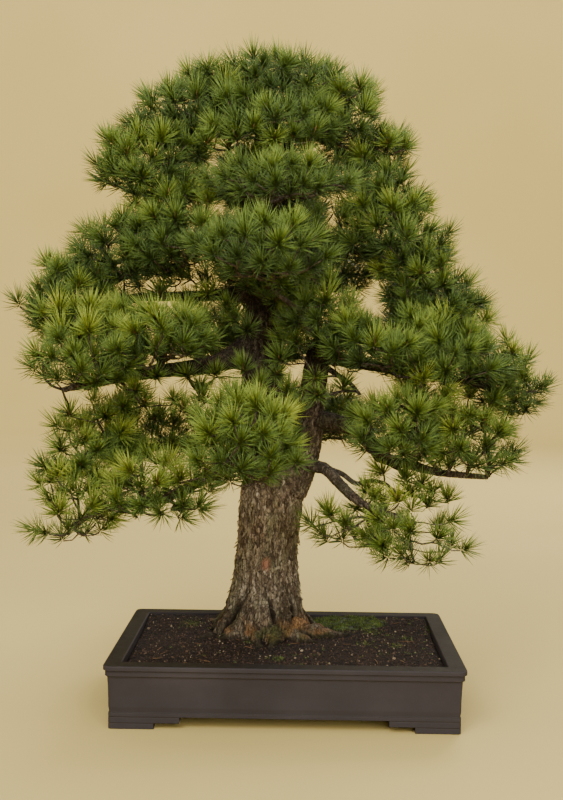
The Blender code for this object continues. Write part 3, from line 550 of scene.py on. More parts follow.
def make_wood(name, nodes, voxel, plate, tall, depth, grow, rounds, fine, low, dark):
    """Bark over CAD wood: plates, cracks, folds at the foot, a scar, and marks that the material reads."""
    mesh = solidify_wood(name, nodes, voxel, grow, rounds)
    points, normals = vertex_rows(mesh, "co").astype(float), vertex_rows(mesh, "normal")
    heights, cracks = bark_relief(points, plate, tall)
    folded = float("trunk" in nodes)
    if not folded:
        gaps = np.array([TRUNK_SOLID.find_nearest(Vector(point))[3] for point in points])
        collar = np.clip(1.0 - gaps / COLLAR_REACH, 0.0, 1.0) ** 1.5
        points += normals * (COLLAR_SWELL * collar)[:, None]
    from_scar = np.hypot((points[:, 0] - SCAR[0]) / SCAR[2], (points[:, 2] - SCAR[1]) / SCAR[3])
    scar = np.clip(1.6 - 1.6 * from_scar, 0.0, 1.0) * (normals[:, 1] < -0.2)
    ring = np.exp(-((from_scar - 1.05) / 0.22) ** 2) * (normals[:, 1] < -0.2)
    above = points[:, 2] - SOIL_TOP
    bare = noise_at(points, 38.0)
    root = np.clip((0.040 - above) / 0.022, 0.0, 1.0) * np.clip(bare * 3.4 + 0.10, 0.0, 1.0)
    bearing = np.arctan2(points[:, 1] - TREE_AXIS[1], points[:, 0] - TREE_AXIS[0])
    warp = np.array([noise.noise(Vector((math.cos(a) * 1.3, math.sin(a) * 1.3, z * 6.0)))
                     for a, z in zip(bearing, points[:, 2])])
    lobes = np.abs(np.sin(bearing * ROOT_LOBES / 2 + warp * 2.6 + 0.6))
    foot = np.clip((FOLD_HEIGHT - above) / FOLD_HEIGHT, 0.0, 1.0) ** 1.4 * (normals[:, 2] > -0.4)
    fold_shade = np.clip(1.35 - lobes * 2.0, 0.0, 1.0) * np.minimum(foot * 2.0, 1.0)
    points += normals * (FOLD_DEPTH * foot * (np.sqrt(lobes) - 0.85))[:, None] * folded
    points += normals * (depth * ((heights - 0.60) * (1 - scar) + 0.5 * ring - 0.2 * scar))[:, None]
    mesh.vertices.foreach_set("co", points.astype(np.float32).reshape(-1))
    mesh.update()
    cracks = np.clip(cracks * 1.2 - 0.45, 0.0, 0.65) * (1 - scar)
    # The hollows between the root lobes are darkened like the cracks: painted shade in the folds.
    set_attribute(mesh, "crack_and_shade", np.maximum(cracks, fold_shade * 0.92 * folded))
    set_attribute(mesh, "scar", scar * 0.8)
    set_attribute(mesh, "root", root * 0.85 * folded)
    green = noise_at(points, 30.0, 7.0)
    moss = np.clip((0.050 - above) / 0.035, 0.0, 1.0) * np.clip(green * 3.5 - 0.25, 0.0, 1.0)
    set_attribute(mesh, "moss", moss * 0.75 * folded)
    mesh.shade_smooth()
    mesh.materials.clear()
    mesh.materials.append(bark_material(name + "_skin", fine, low, dark))
    return adopt(link(name, mesh), nodes)


def make_surface_roots(height, material):
    """Gnarled roots that leave the foot of the trunk and dive into the soil."""
    paths = []
    for bearing, reach, radius, turn in SURFACE_ROOTS:
        line, radii = [], []
        for t in np.linspace(0.0, 1.0, 16):
            away = 0.050 + (reach - 0.050) * t
            angle = math.radians(bearing + turn * t * t)
            x, y = TREE_AXIS[0] + away * math.cos(angle), TREE_AXIS[1] + away * math.sin(angle)
            thick = radius * (1.15 - 0.85 * t)
            wave = 0.0025 * noise.noise(Vector((x, y, 0.5)) * 60.0)
            line.append((x, y, height(x, y) + thick * (0.55 - 1.1 * t ** 2) + wave))
            radii.append(thick)
        paths.append((np.array(line), np.array(radii)))
    points, faces = tube_arrays(paths, 16)
    bends = np.array([noise.noise_vector(Vector(point) * 62.0) * 0.0042
                      + noise.noise_vector(Vector(point) * 210.0) * 0.0016 for point in points])
    piece = new_piece("surface_roots", points + bends, faces, material)
    bare = noise_at(points, 38.0)
    green = noise_at(points, 30.0, 7.0)
    top = np.clip((points[:, 2] - SOIL_TOP - 0.004) / 0.006, 0.0, 1.0)
    set_attribute(piece.data, "root", np.clip(bare * 2.6 + 0.45, 0.0, 0.9) * top)
    set_attribute(piece.data, "moss", np.clip(green * 3.5 - 0.10, 0.0, 0.8))
    # The roots are darker low down, where they meet the soil.
    set_attribute(piece.data, "crack_and_shade", 0.85 * (1.0 - top))
    return piece


def make_flakes(trunk, material):
    """Loose plates of bark, each a thin uneven chip whose lower edge stands off the trunk."""
    mesh = trunk.data
    points, normals = (vertex_rows(mesh, key).astype(float) for key in ("co", "normal"))
    order = RNG.permutation(len(points))[:FLAKES * 4]
    marks = {}
    for mark in ("crack_and_shade", "scar", "root", "moss"):
        marks[mark] = np.empty(len(points), np.float32)
        mesh.attributes[mark].data.foreach_get("value", marks[mark])
    sound = (marks["crack_and_shade"] < 0.30) & (marks["scar"] < 0.05)
    sound &= RNG.random(len(points)) < np.clip((points[:, 2] - SOIL_TOP - 0.015) / 0.07, 0.0, 1.0)
    order = order[sound[order] & (points[order, 2] < 0.62)]
    grid = KDTree(len(order))
    for i, k in enumerate(order):
        grid.insert(points[k], i)
    grid.balance()
    taken, free = [], np.ones(len(order), bool)
    for i, k in enumerate(order):
        if free[i] and len(taken) < FLAKES:
            taken.append(k)
            free[[j for _, j, _ in grid.find_range(points[k], FLAKE_SPACING)]] = False
    roots, out = points[taken], unit(normals[taken])
    count = len(roots)
    down = unit(-UP + out * out[:, 2:] + RNG.normal(0, 0.16, (count, 3)))
    side = unit(np.cross(down, out))
    high, wide = RNG.uniform(0.0040, 0.0085, count), RNG.uniform(0.0018, 0.0036, count)
    lift = RNG.uniform(0.0002, 0.0019, count)
    thick = RNG.uniform(0.0007, 0.0013, count)
    outline = [(0.0, -1.0), (0.75, -0.55), (0.9, 0.35), (0.2, 1.0), (-0.7, 0.7), (-0.9, -0.35)]
    rings = []
    for raised in (0.0, 1.0):
        for across, along in outline:
            jitter = RNG.uniform(0.75, 1.2, count)
            place = roots + side * (across * wide * jitter)[:, None] + down * (along * high)[:, None]
            stand = lift * (along + 0.6) + thick * (raised - 0.35)
            rings.append(place + out * stand[:, None])
    plates = np.stack(rings, 1).reshape(-1, 3)
    pattern = [(6, k + 1, k) for k in range(7, 11)] + [(0, k, k + 1) for k in range(1, 5)]
    for k in range(6):
        j = (k + 1) % 6
        pattern += [(k, 6 + j, j), (k, 6 + k, 6 + j)]
    piece = new_piece("bark_flakes", plates, repeated(pattern, count, 12), material, smooth=False)
    for mark, values in marks.items():
        set_attribute(piece.data, mark, np.repeat(values[taken] * 0.6, 12))
    return piece


# ---- tufts ----


def spread_out(where, spacing, fixed=0):
    """The indices of points kept so that no two are nearer than the spacing. The first fixed ones stay."""
    kept = []
    for i, point in enumerate(where):
        if i < fixed or not kept or (np.linalg.norm(where[kept] - point, axis=1) > spacing).all():
            kept.append(i)
    return kept


def tufts_of(pad, solid, others, wood):
    """(places, directions, lift, depth behind the skin layer, which are on the skin) of a pad's tufts."""
    low, high = (np.array(corner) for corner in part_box(pad))
    centre, half = (low + high) / 2, (high - low) / 2
    inner_low = np.maximum(low, np.array(CAD_BOX[0]) + BOX_INSET)
    inner_high = np.minimum(high, np.array(CAD_BOX[1]) - BOX_INSET)
    found = []
    spread = OPEN_PADS.get(pad, 1.0)
    for point in RNG.uniform(inner_low - [0, 0, 0.012], inner_high + [0, 0, 0.006], (TUFT_TRIALS, 3)):
        where = Vector(point)
        skin, normal, _, depth = solid.find_nearest(where)
        if (where - skin).dot(normal) > 0:
            depth = -depth
        if depth < BRIDGE_DEPTH or wood.find_nearest(where, WOOD_CLEARANCE)[0] is not None:
            continue
        outward = Vector((point[0] - TREE_AXIS[0], point[1] - TREE_AXIS[1], 0.0)).normalized()
        bridged = any(other.find_nearest(skin, BRIDGE_REACH)[0] is not None for other in others)
        if normal.dot(outward) > FACES_OUT and normal.z > -0.5:
            needed = OUTER_DEPTH
        elif bridged:
            needed = BRIDGE_DEPTH
        else:
            needed = BELOW_DEPTH if normal.z < -0.45 else TOP_DEPTH
        needed += RAGGED * noise.noise(skin * 22.0)
        if needed < depth < needed + FILL_LAYER:
            found.append((depth - needed, point, normal.z > -0.35))
    found.sort(key=lambda row: row[0])
    places = np.array([point for _, point, _ in found])
    depths = np.array([depth for depth, _, _ in found])
    shown = np.array([depth < SKIN_LAYER and faces_out for depth, _, faces_out in found])
    front = np.flatnonzero(shown)
    front = RNG.permutation(front)
    front = front[spread_out(places[front], SKIN_SPACING * spread)]
    rest = np.setdiff1d(np.arange(len(places)), front)
    order = np.concatenate([front, rest])
    kept = order[spread_out(places[order], FILL_SPACING * spread, len(front))]
    on_skin = np.isin(kept, front)
    places, depths = places[kept], depths[kept]
    local = (places - centre) / half
    fan = np.stack([local[:, 0], local[:, 1], 0.72 + 0.40 * local[:, 2]], 1)
    leans = unit(unit(fan) + RNG.normal(0, 0.24, places.shape))
    return places, leans, local[:, 2], depths, on_skin


def sprays_of(branch, solids, wood):
    """(places, directions) of small sprays growing round a branch, outside the pads."""
    line = np.array(axis_points(branch))
    found = []
    for point in line[RNG.integers(0, len(line), SPRAYS_PER_BRANCH)]:
        point = point + RNG.normal(0, 1, 3) * [0.020, 0.024, 0.015] + [0.0, -0.006, 0.010]
        where = Vector(point)
        if wood.find_nearest(where, 0.010)[0] is not None:
            continue
        if math.hypot(point[0] - TREE_AXIS[0], point[1] - TREE_AXIS[1]) < 0.062:
            continue
        skins = [solid.find_nearest(where) for solid in solids]
        if any((where - skin).dot(normal) < 0 for skin, normal, _, _ in skins):
            continue
        found.append(point)
    if not found:
        return np.empty((0, 3)), np.empty((0, 3)), line
    places = np.array(found)
    places = places[spread_out(places, SPRAY_SPACING)]
    away = places - [*TREE_AXIS, 0.0]
    away[:, 2] = 0.0
    leans = unit(unit(away) * 0.55 + UP * 0.75 + RNG.normal(0, 0.28, places.shape))
    return places, leans, line


# The triangles of a closed three-sided spike: two rings of three points, and its tip
SPIKE_POINTS = 7
SPIKE = [(0, 2, 1)]
for k, j in ((0, 1), (1, 2), (2, 0)):
    SPIKE += [(k, j, j + 3), (k, j + 3, k + 3), (k + 3, j + 3, 6)]


def needle_arrays(bases, leans, tones, sizes, each):
    """Closed three-sided needles in a brush round each shoot: (points, triangles, strip map per corner)."""
    tufts = len(bases)
    count = tufts * each
    tuft = np.repeat(np.arange(tufts), each)
    lean = leans[tuft]
    side = unit(np.cross(lean, np.where(np.abs(lean[:, 2:]) > 0.9, [[1.0, 0, 0]], UP)))
    other = np.cross(lean, side)
    turn = RNG.random(count) * 2 * math.pi
    share = np.tile((np.arange(each) + 0.5) / each, tufts)
    opening = np.radians(6 + 84 * share ** 0.75 + RNG.normal(0, 8, count))
    out = np.cos(turn)[:, None] * side + np.sin(turn)[:, None] * other
    start = bases[tuft] + lean * (SHOOT_LENGTH * (1.0 - 0.9 * share))[:, None] + out * 0.0012
    heading = unit(np.cos(opening)[:, None] * lean + np.sin(opening)[:, None] * out)
    length = NEEDLE_LENGTH * sizes[tuft] * RNG.uniform(0.82, 1.08, count) * (1.0 - 0.10 * share)
    bend = lean * RNG.uniform(0.04, 0.22, count)[:, None] + RNG.normal(0, 0.04, (count, 3))
    edge = unit(np.cross(heading, RNG.normal(0, 1, (count, 3))))
    across = np.cross(heading, edge)
    radius = NEEDLE_RADIUS * 1.0 * RNG.uniform(0.85, 1.15, count)
    rings = []
    for t, width in ((0.0, 0.8), (0.55, 1.0)):
        axis = start + (length * t)[:, None] * (heading + bend * t)
        for k in range(3):
            angle = 2 * math.pi * k / 3
            spoke = math.cos(angle) * edge + math.sin(angle) * across
            rings.append(axis + (radius * width)[:, None] * spoke)
    rings.append(start + length[:, None] * (heading + bend))
    points = np.stack(rings, 1)
    # Upright inner needles of a tuft get a brighter tone and spreading outer ones a darker one: painted
    # light and shade.
    tone = tones[tuft] + 0.20 * (0.42 - share) + RNG.normal(0, 0.06, count)
    tone = np.clip(tone, 0.02, 0.96)
    place_u = np.array([0.0, 0.008, 0.004] * 2 + [0.004])
    place_v = np.array([0.02] * 3 + [0.55] * 3 + [0.98])
    corner_u = tone[:, None] + place_u[None]
    corner_v = np.broadcast_to(place_v, (count, SPIKE_POINTS))
    strip = np.stack([corner_u, corner_v], -1)[:, np.array(SPIKE).reshape(-1)]
    return points.reshape(-1, 3), repeated(SPIKE, count, SPIKE_POINTS), strip.reshape(-1, 2)


def make_needles(pad, groups, material):
    """One piece holding the needles of both of a pad's groups of tufts."""
    points, faces, strips, start = [], [], [], 0
    for group in groups:
        p, f, strip = needle_arrays(*group)
        points.append(p)
        faces.append(f + start)
        strips.append(strip)
        start += len(p)
    replaced = (pad,) if pad in PADS else ()
    points, faces = np.concatenate(points), np.concatenate(faces)
    piece = new_piece(pad + "_needles", points, faces, material, replaced)
    layer = piece.data.uv_layers.new(name="OFBake")
    layer.uv.foreach_set("vector", np.concatenate(strips).astype(np.float32).reshape(-1))
    return piece


def make_buds(bases, leans, material):
    """A pointed winter bud in the heart of each tuft that has one."""
    profile = [(-0.004, 0.0016), (0.001, 0.0021), (0.005, 0.0019), (0.009, 0.0011), (0.012, 0.0003)]
    paths = []
    for base, lean in zip(bases, leans):
        size = RNG.uniform(0.55, 0.90)
        line = np.array([base + lean * (SHOOT_LENGTH * 0.75 + along * size) for along, _ in profile])
        paths.append((line, np.array([radius * size for _, radius in profile])))
    points, faces = tube_arrays(paths)
    return new_piece("winter_buds", points, faces, material)


# ---- soil, moss and litter ----


def soil_surface():
    """(height at a point, low corner, high corner) of the soil inside the pot's rim."""
    points, faces = mesh_arrays(NODES["soil"].data)
    solid = tree_of(points, faces)
    rim = points[points[:, 2] > SOIL_TOP - 0.0065]
    low, high = rim.min(0), rim.max(0)

    def height(x, y):
        hit = solid.ray_cast(Vector((x, y, SOIL_TOP + 0.05)), Vector((0, 0, -1)))[0]
        level = hit.z if hit is not None and hit.z > SOIL_TOP - 0.02 else SOIL_TOP
        share = min(max((y - BANK_START) / (high[1] - BANK_START), 0.0), 1.0)
        return level + BANK_RISE * share * share * (3.0 - 2.0 * share)
    return height, low, high


def crumble(x, y):
    """How far the soil's surface stands above or below its mean height."""
    place = Vector((x, y, 0.0))
    return (0.0016 * noise.noise(place * 45.0) + 0.0010 * noise.noise(place * 160.0)
            + 0.0007 * noise.noise(place * 420.0))


def make_soil(height, low, high):
    """The soil as one closed body: a crumbled top inside the rim, straight sides and a flat bottom."""
    columns = int((high[0] - low[0]) / SOIL_CELL)
    rows = int((high[1] - low[1]) / SOIL_CELL)
    xs, ys = np.linspace(low[0], high[0], columns), np.linspace(low[1], high[1], rows)
    top = np.array([(x, y, height(x, y) + crumble(x, y)) for y in ys for x in xs])
    faces, loop = grid_faces(rows, columns)
    foot = top[loop].copy()
    foot[:, 2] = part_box("soil")[0].z
    below = len(top) + np.arange(len(loop))
    sides = np.stack([loop, below, np.roll(below, -1), np.roll(loop, -1)], -1)
    middle = len(top) + len(loop)
    centre = [(low[0] + high[0]) / 2, (low[1] + high[1]) / 2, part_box("soil")[0].z]
    points = np.concatenate([top, foot, [centre]])
    pairs = len(loop) // 2
    fan = np.stack([below[0:2 * pairs:2], np.full(pairs, middle), np.roll(below, -2)[0:2 * pairs:2],
                    np.roll(below, -1)[0:2 * pairs:2]], -1)
    stops = [(0.0, (0.007, 0.0042, 0.0028)), (0.45, (0.013, 0.0075, 0.0052)),
             (0.75, (0.025, 0.0145, 0.0095)), (1.0, (0.042, 0.026, 0.017))]
    material = granular_material("damp_soil", stops, 420.0, 0.9)
    faces = np.concatenate([faces, sides, fan])
    return new_piece("soil_surface", points, faces, material, ("soil",))


# An icosahedron, the start of every grain
ICO = [(0, 0, 1), (0.894, 0, 0.447), (0.276, 0.851, 0.447), (-0.724, 0.526, 0.447), (-0.724, -0.526, 0.447),
       (0.276, -0.851, 0.447), (0.724, 0.526, -0.447), (-0.276, 0.851, -0.447), (-0.894, 0, -0.447),
       (-0.276, -0.851, -0.447), (0.724, -0.526, -0.447), (0, 0, -1)]
ICO_FACES = []
for a, b in ((1, 2), (2, 3), (3, 4), (4, 5), (5, 1)):
    ICO_FACES += [(0, a, b), (a, a + 5, b), (b, a + 5, b + 5), (a + 5, 11, b + 5)]


def make_grains(height, low, high, trunk):
    """Crumbs of baked clay, grit and bark scattered on the soil, each an uneven pebble of its own."""
    count = GRAINS
    x = RNG.uniform(low[0] + 0.003, high[0] - 0.003, count)
    y = RNG.uniform(low[1] + 0.003, high[1] - 0.003, count)
    radius = 0.0008 + 0.0013 * RNG.random(count) ** 3
    big = RNG.random(count) < 0.03
    radius[big] = RNG.uniform(0.0018, 0.0030, big.sum())
    centres = np.array([(a, b, height(a, b) + crumble(a, b)) for a, b in zip(x, y)])
    centres[:, 2] += radius * 0.25
    clear = np.array([trunk.find_nearest(Vector(c), 0.002)[0] is None for c in centres])
    centres, radius = centres[clear], radius[clear]
    count = len(centres)
    shape = np.array(ICO)[None] * RNG.uniform(0.70, 1.25, (count, 12, 1))
    shape = shape * RNG.uniform(0.65, 1.2, (count, 1, 3))
    points = (centres[:, None] + shape * radius[:, None, None]).reshape(-1, 3)
    stops = [(0.0, (0.008, 0.005, 0.003)), (0.45, (0.022, 0.012, 0.008)), (0.75, (0.050, 0.026, 0.015)),
             (0.93, (0.100, 0.060, 0.034)), (1.0, (0.300, 0.240, 0.160))]
    material, tree, shader = new_material("soil_grains")
    pick = attribute(tree, "pick")
    tree.links.new(ramp(tree, pick, stops), shader.inputs["Base Color"])
    grit = noise_value(tree, object_coordinates(tree), 1500.0)
    tree.links.new(bump(tree, grit, 0.6, 0.0005), shader.inputs["Normal"])
    shader.inputs["Roughness"].default_value = 0.92
    piece = new_piece("soil_grains", points, repeated(ICO_FACES, count, 12), material, smooth=False)
    set_attribute(piece.data, "pick", np.repeat(RNG.random(count) ** 1.4, 12))
    return piece


def blade_arrays(roots, leans, lengths, width):
    """Short closed three-sided blades: (points, triangles)."""
    count = len(roots)
    side = unit(np.cross(leans, RNG.normal(0, 1, (count, 3))))
    other = np.cross(leans, side)
    ring = [roots + width[:, None] * (math.cos(a) * side + math.sin(a) * other) for a in (0, 2.094, 4.189)]
    waist = [root * 0.45 + (roots + leans * lengths[:, None]) * 0.55 for root in ring]
    waist = [w + (roots + leans * lengths[:, None] * 0.55 - w) * 0.1 for w in waist]
    points = np.stack(ring + waist + [roots + leans * lengths[:, None]], 1)
    return points.reshape(-1, 3), repeated(SPIKE, count, SPIKE_POINTS)


def plant_blades(name, roots, lengths, leans, widest, green, material):
    """A piece of blades. green: the mean and the spread of their place between dull and bright."""
    points, faces = blade_arrays(roots, leans, lengths, RNG.uniform(0.0004, widest, len(roots)))
    piece = new_piece(name, points, faces, material, smooth=False)
    picks = np.clip(RNG.normal(*green, len(roots)), 0, 1)
    set_attribute(piece.data, "pick", np.repeat(picks, SPIKE_POINTS))


def moss_material():
    material, tree, shader = new_material("moss_leaf")
    pick = attribute(tree, "pick")
    cloud = noise_value(tree, object_coordinates(tree, (1.0, 2.2, 1.0)), 75.0, 4.0)
    colour = ramp(tree, pick, [(0.0, (0.026, 0.038, 0.010)), (0.5, (0.095, 0.140, 0.022)),
                               (1.0, (0.290, 0.370, 0.055))])
    shade = ramp(tree, cloud, [(0.38, (0.20, 0.18, 0.18)), (0.60, (1.05, 1.08, 0.95))])
    tree.links.new(mix(tree, 1.0, colour, shade, "MULTIPLY"), shader.inputs["Base Color"])
    shader.inputs["Roughness"].default_value = 0.75
    return material


def make_moss(height, material):
    """The moss cushion behind the trunk's right side and small spots round it: mats of short leaves."""
    low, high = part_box("moss_patch")
    centre, half = (low + high) / 2, (high - low) / 2
    xs, ys = np.linspace(-1, 1, 90), np.linspace(-1, 1, 60)
    top = []
    for v in ys:
        for u in xs:
            x, y = centre.x + u * half.x, centre.y + v * half.y
            place = Vector((x, y, 0))
            uneven = 0.9 + 0.5 * noise.noise(Vector((u, v, 2)) * 2.5)
            round_share = max(1.0 - (abs(u) ** 2.4 + abs(v) ** 2.4) * uneven, 0.0)
            rise = 0.0065 * round_share ** 0.5 * (1.0 + 0.5 * noise.noise(place * 70.0))
            grit = 0.0012 * noise.noise(place * 300.0) if rise else -0.002
            top.append((x, y, height(x, y) - 0.0015 + rise + grit))
    top = np.array(top)
    upper, loop = grid_faces(len(ys), len(xs))
    floor = top.copy()
    floor[:, 2] = SOIL_TOP - 0.012
    sides = np.stack([loop, loop + len(top), np.roll(loop, -1) + len(top), np.roll(loop, -1)], -1)
    faces = np.concatenate([upper, upper[:, ::-1] + len(top), sides])
    points = np.concatenate([top, floor])
    cushion = new_piece("moss_cushion", points, faces, material, ("moss_patch",))
    set_attribute(cushion.data, "pick", np.tile(0.02 + 0.20 * RNG.random(len(top)), 2))
    solid = tree_of(*mesh_arrays(cushion.data))
    roots, lengths = [], []
    for _ in range(MOSS_BLADES):
        u, v = RNG.uniform(-1, 1, 2)
        x, y = centre.x + u * half.x, centre.y + v * half.y
        hit = solid.ray_cast(Vector((x, y, SOIL_TOP + 0.05)), Vector((0, 0, -1)))[0]
        clump = noise.noise(Vector((x * 1.0, y * 2.2, 0)) * 75.0)
        if hit is not None and hit.z > height(x, y) + 0.0003 and RNG.random() < 0.45 + 1.6 * clump:
            roots.append(tuple(hit))
            lengths.append(RNG.uniform(0.0022, 0.0050) * (1.0 + clump))
    for x0, y0, reach, count in MOSS_SPOTS:
        for _ in range(count):
            x, y = np.array([x0, y0]) + RNG.normal(0, reach * 0.5, 2)
            roots.append((x, y, height(x, y) + crumble(x, y) - 0.0006))
            lengths.append(RNG.uniform(0.0022, 0.0050))
    roots, lengths = np.array(roots), np.array(lengths)
    leans = unit(UP + RNG.normal(0, 0.45, roots.shape))
    plant_blades("moss_leaves", roots, lengths, leans, 0.0007, (0.42, 0.24), material)


def make_seedlings(height, low, high, material):
    """Tiny green weeds and moss tufts scattered on the soil, more of them on the right."""
    roots, lengths = [], []
    for _ in range(95):
        x = low[0] + (high[0] - low[0]) * RNG.random() ** 0.6
        y = RNG.uniform(low[1] + 0.008, high[1] - 0.008)
        size = RNG.uniform(0.5, 1.0)
        for _ in range(int(RNG.integers(5, 12))):
            a, b = np.array([x, y]) + RNG.normal(0, 0.0016, 2)
            roots.append((a, b, height(a, b) + crumble(a, b) - 0.0005))
            lengths.append(size * RNG.uniform(0.003, 0.0065))
    roots, lengths = np.array(roots), np.array(lengths)
    leans = unit(UP * 0.7 + RNG.normal(0, 0.6, roots.shape) * [1, 1, 0.3])
    plant_blades("soil_seedlings", roots, lengths, leans, 0.0009, (0.40, 0.25), material)


def make_litter(height, low, high):
    """Old needles that have fallen on the soil."""
    paths = []
    for _ in range(34):
        x, y = RNG.uniform(low[0] + 0.03, high[0] - 0.03), RNG.uniform(low[1] + 0.02, high[1] - 0.03)
        turn, length = RNG.uniform(0, math.pi), RNG.uniform(0.014, 0.030)
        line = []
        for t in np.linspace(-0.5, 0.5, 6):
            a = x + t * length * math.cos(turn) - 0.004 * t * t * math.sin(turn)
            b = y + t * length * math.sin(turn) + 0.004 * t * t * math.cos(turn)
            line.append((a, b, height(a, b) + 0.0018))
        paths.append((np.array(line), np.array([0.0002, 0.0004, 0.0005, 0.0005, 0.0004, 0.0002])))
    points, faces = tube_arrays(paths)
    stops = [(0.0, (0.06, 0.03, 0.015)), (0.6, (0.16, 0.085, 0.04)), (1.0, (0.26, 0.16, 0.08))]
    material = granular_material("dry_needle", stops, 60.0, 0.2, 0.7)
    return new_piece("fallen_needles", points, faces, material)


# ---- twigs ----


def axis_points(node):
    """Points on the centreline of a CAD branch: halfway along a ray through it from each vertex."""
    points, faces = mesh_arrays(NODES[node].data)
    tree = tree_of(points, faces)
    mesh = NODES[node].data
    found = []
    for vertex in mesh.vertices:
        inward = -vertex.normal
        hit = tree.ray_cast(vertex.co + inward * 1e-4, inward, 0.05)
        if hit[0] is not None:
            found.append(np.array((vertex.co + hit[0]) / 2))
    return found


def grow_twigs(bases, leans, anchors):
    """Paths of twigs from the branch to each tuft. Returns [(points, radii)], thin at the tuft."""
    places = [np.array(a) for a in anchors]
    parents = [-1] * len(places)
    costs = [0.0] * len(places)
    headings = [None] * len(places)
    leaves = [0.0] * len(places)
    reach = np.linalg.norm(bases[:, None] - np.array(anchors)[None], axis=2).min(1)
    paths = []
    for i in np.argsort(reach):
        end = bases[i]
        array = np.array(places)
        gaps = np.linalg.norm(array - end, axis=1)
        rise = np.maximum(array[:, 2] - end[2], 0.0)
        score = gaps + 0.35 * np.array(costs) + 1.2 * rise + (gaps < 0.008) * 1.0
        start = int(np.argmin(score))
        first = places[start]
        span = np.linalg.norm(end - first)
        toward = unit(end - first)
        leave = headings[start]
        if leave is None:
            leave = unit(toward * [1.0, 1.0, 0.2] - [0, 0, 0.25])
        leave = unit(leave * 0.6 + toward)
        steps = max(int(span / 0.011), 2)
        arrive = unit(leans[i] + toward * 0.4)
        path = [start]
        for k in range(1, steps + 1):
            t = k / steps
            from_first, to_end = 2 * t ** 3 - 3 * t ** 2 + 1, 3 * t ** 2 - 2 * t ** 3
            going, coming = t ** 3 - 2 * t ** 2 + t, t ** 3 - t ** 2
            place = from_first * first + going * leave * span * 0.9
            place = place + to_end * end + coming * arrive * span * 0.9
            if k < steps:
                place = place + RNG.normal(0, 0.0011, 3)
            previous = path[-1]
            places.append(place)
            parents.append(previous)
            costs.append(costs[previous] + float(np.linalg.norm(place - places[previous])))
            headings.append(unit(place - places[previous]))
            leaves.append(0.0)
            path.append(len(places) - 1)
        paths.append(path)
        walk = path[-1]
        while walk >= 0:
            leaves[walk] += 1
            walk = parents[walk]
    made = []
    for path in paths:
        radii = [0.00125 * min(leaves[k] if k != path[0] else leaves[path[1]], 20) ** 0.42 for k in path]
        made.append((np.array([places[k] for k in path]), np.array(radii)))
    return made


def smooth_line(route, steps=5):
    """A Catmull-Rom curve through a route's rows."""
    rows = np.array([route[0], *route, route[-1]])
    made = []
    for a, b, c, d in zip(rows, rows[1:], rows[2:], rows[3:]):
        for t in np.arange(steps) / steps:
            made.append(b + 0.5 * t * (c - a + t * (2 * a - 5 * b + 4 * c - d + t * (3 * (b - c) + d - a))))
    return np.array(made + [rows[-1]])


def tube_arrays(paths, sides=6):
    """Tubes along paths, rounded off at the thin end: (points, four-cornered faces)."""
    points, faces, start = [], [], 0
    for path, radii in paths:
        ahead = unit(np.gradient(path, axis=0))
        side = unit(np.cross(ahead, [0.31, 0.17, 0.94]))
        other = np.cross(ahead, side)
        for k in range(sides):
            angle = 2 * math.pi * k / sides
            ring = path + radii[:, None] * (math.cos(angle) * side + math.sin(angle) * other)
            points.append(ring)
        rows = len(path)
        for k in range(sides):
            a = start + k * rows + np.arange(rows - 1)
            b = start + ((k + 1) % sides) * rows + np.arange(rows - 1)
            faces.append(np.stack([a, b, b + 1, a + 1], 1))
        for row in (0, rows - 1):
            ring = [start + k * rows + row for k in range(sides)]
            if row == 0:
                ring = ring[::-1]
            cap = [[ring[0], ring[k], ring[k + 1], ring[k + 2]] for k in range(1, sides - 2, 2)]
            faces.append(np.array(cap))
        start += sides * rows
    return np.concatenate(points), np.concatenate(faces)


# ---- stage, lights and camera ----


def make_stage():
    """A round sweep of pale paper: a floor that curves up into a wall on every side. Its far parts glow:
    painted light.
    """
    material, tree, shader = new_material("pale_paper_with_painted_glow")
    where = object_coordinates(tree)
    cloud = noise_value(tree, where, 0.8, 2.0)
    tint = ramp(tree, cloud, [(0.3, (0.60, 0.470, 0.155)), (0.7, (0.63, 0.500, 0.175))])
    tree.links.new(tint, shader.inputs["Base Color"])
    tree.links.new(tint, shader.inputs["Emission Color"])
    far = add_node(tree, "VectorMath", {0: where}, operation="LENGTH").outputs["Value"]
    # The paper glows more the farther it is from the middle: painted light.
    glow = ramp(tree, calc(tree, "MULTIPLY", far, 0.125), [(0.25, 0.0), (0.75, 0.38)])
    tree.links.new(glow, shader.inputs["Emission Strength"])
    shader.inputs["Roughness"].default_value = 0.9
    flat, curve, wall = 5.4, 1.6, 3.4
    profile = [(flat * k / 6, 0.0) for k in range(1, 7)]
    for step in range(1, 11):
        angle = math.pi / 2 * step / 10
        profile.append((flat + curve * math.sin(angle), curve - curve * math.cos(angle)))
    profile.append((flat + curve, wall))
    turns = 96
    points = [(0.0, 0.0, 0.0)]
    for reach, height in profile:
        for k in range(turns):
            angle = 2 * math.pi * k / turns
            points.append((reach * math.cos(angle), reach * math.sin(angle), height))
    faces = [(0, 1 + k, 1 + (k + 1) % turns) for k in range(turns)]
    for row in range(len(profile) - 1):
        for k in range(turns):
            a, b = 1 + row * turns + k, 1 + row * turns + (k + 1) % turns
            faces.append((a, a + turns, b + turns, b))
    mesh = bpy.data.meshes.new("paper_sweep")
    mesh.from_pydata(points, [], faces)
    mesh.materials.append(material)
    mesh.shade_smooth()
    link("paper_sweep", mesh)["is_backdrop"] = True


def add_light(name, place, target, size, power, colour):
    data = bpy.data.lights.new(name, "AREA")
    data.shape = "RECTANGLE"
    data.size, data.size_y = size
    data.energy = power
    data.color = colour
    lamp = link(name, data)
    lamp.location = place
    lamp.rotation_euler = (Vector(target) - Vector(place)).to_track_quat("-Z", "Y").to_euler()


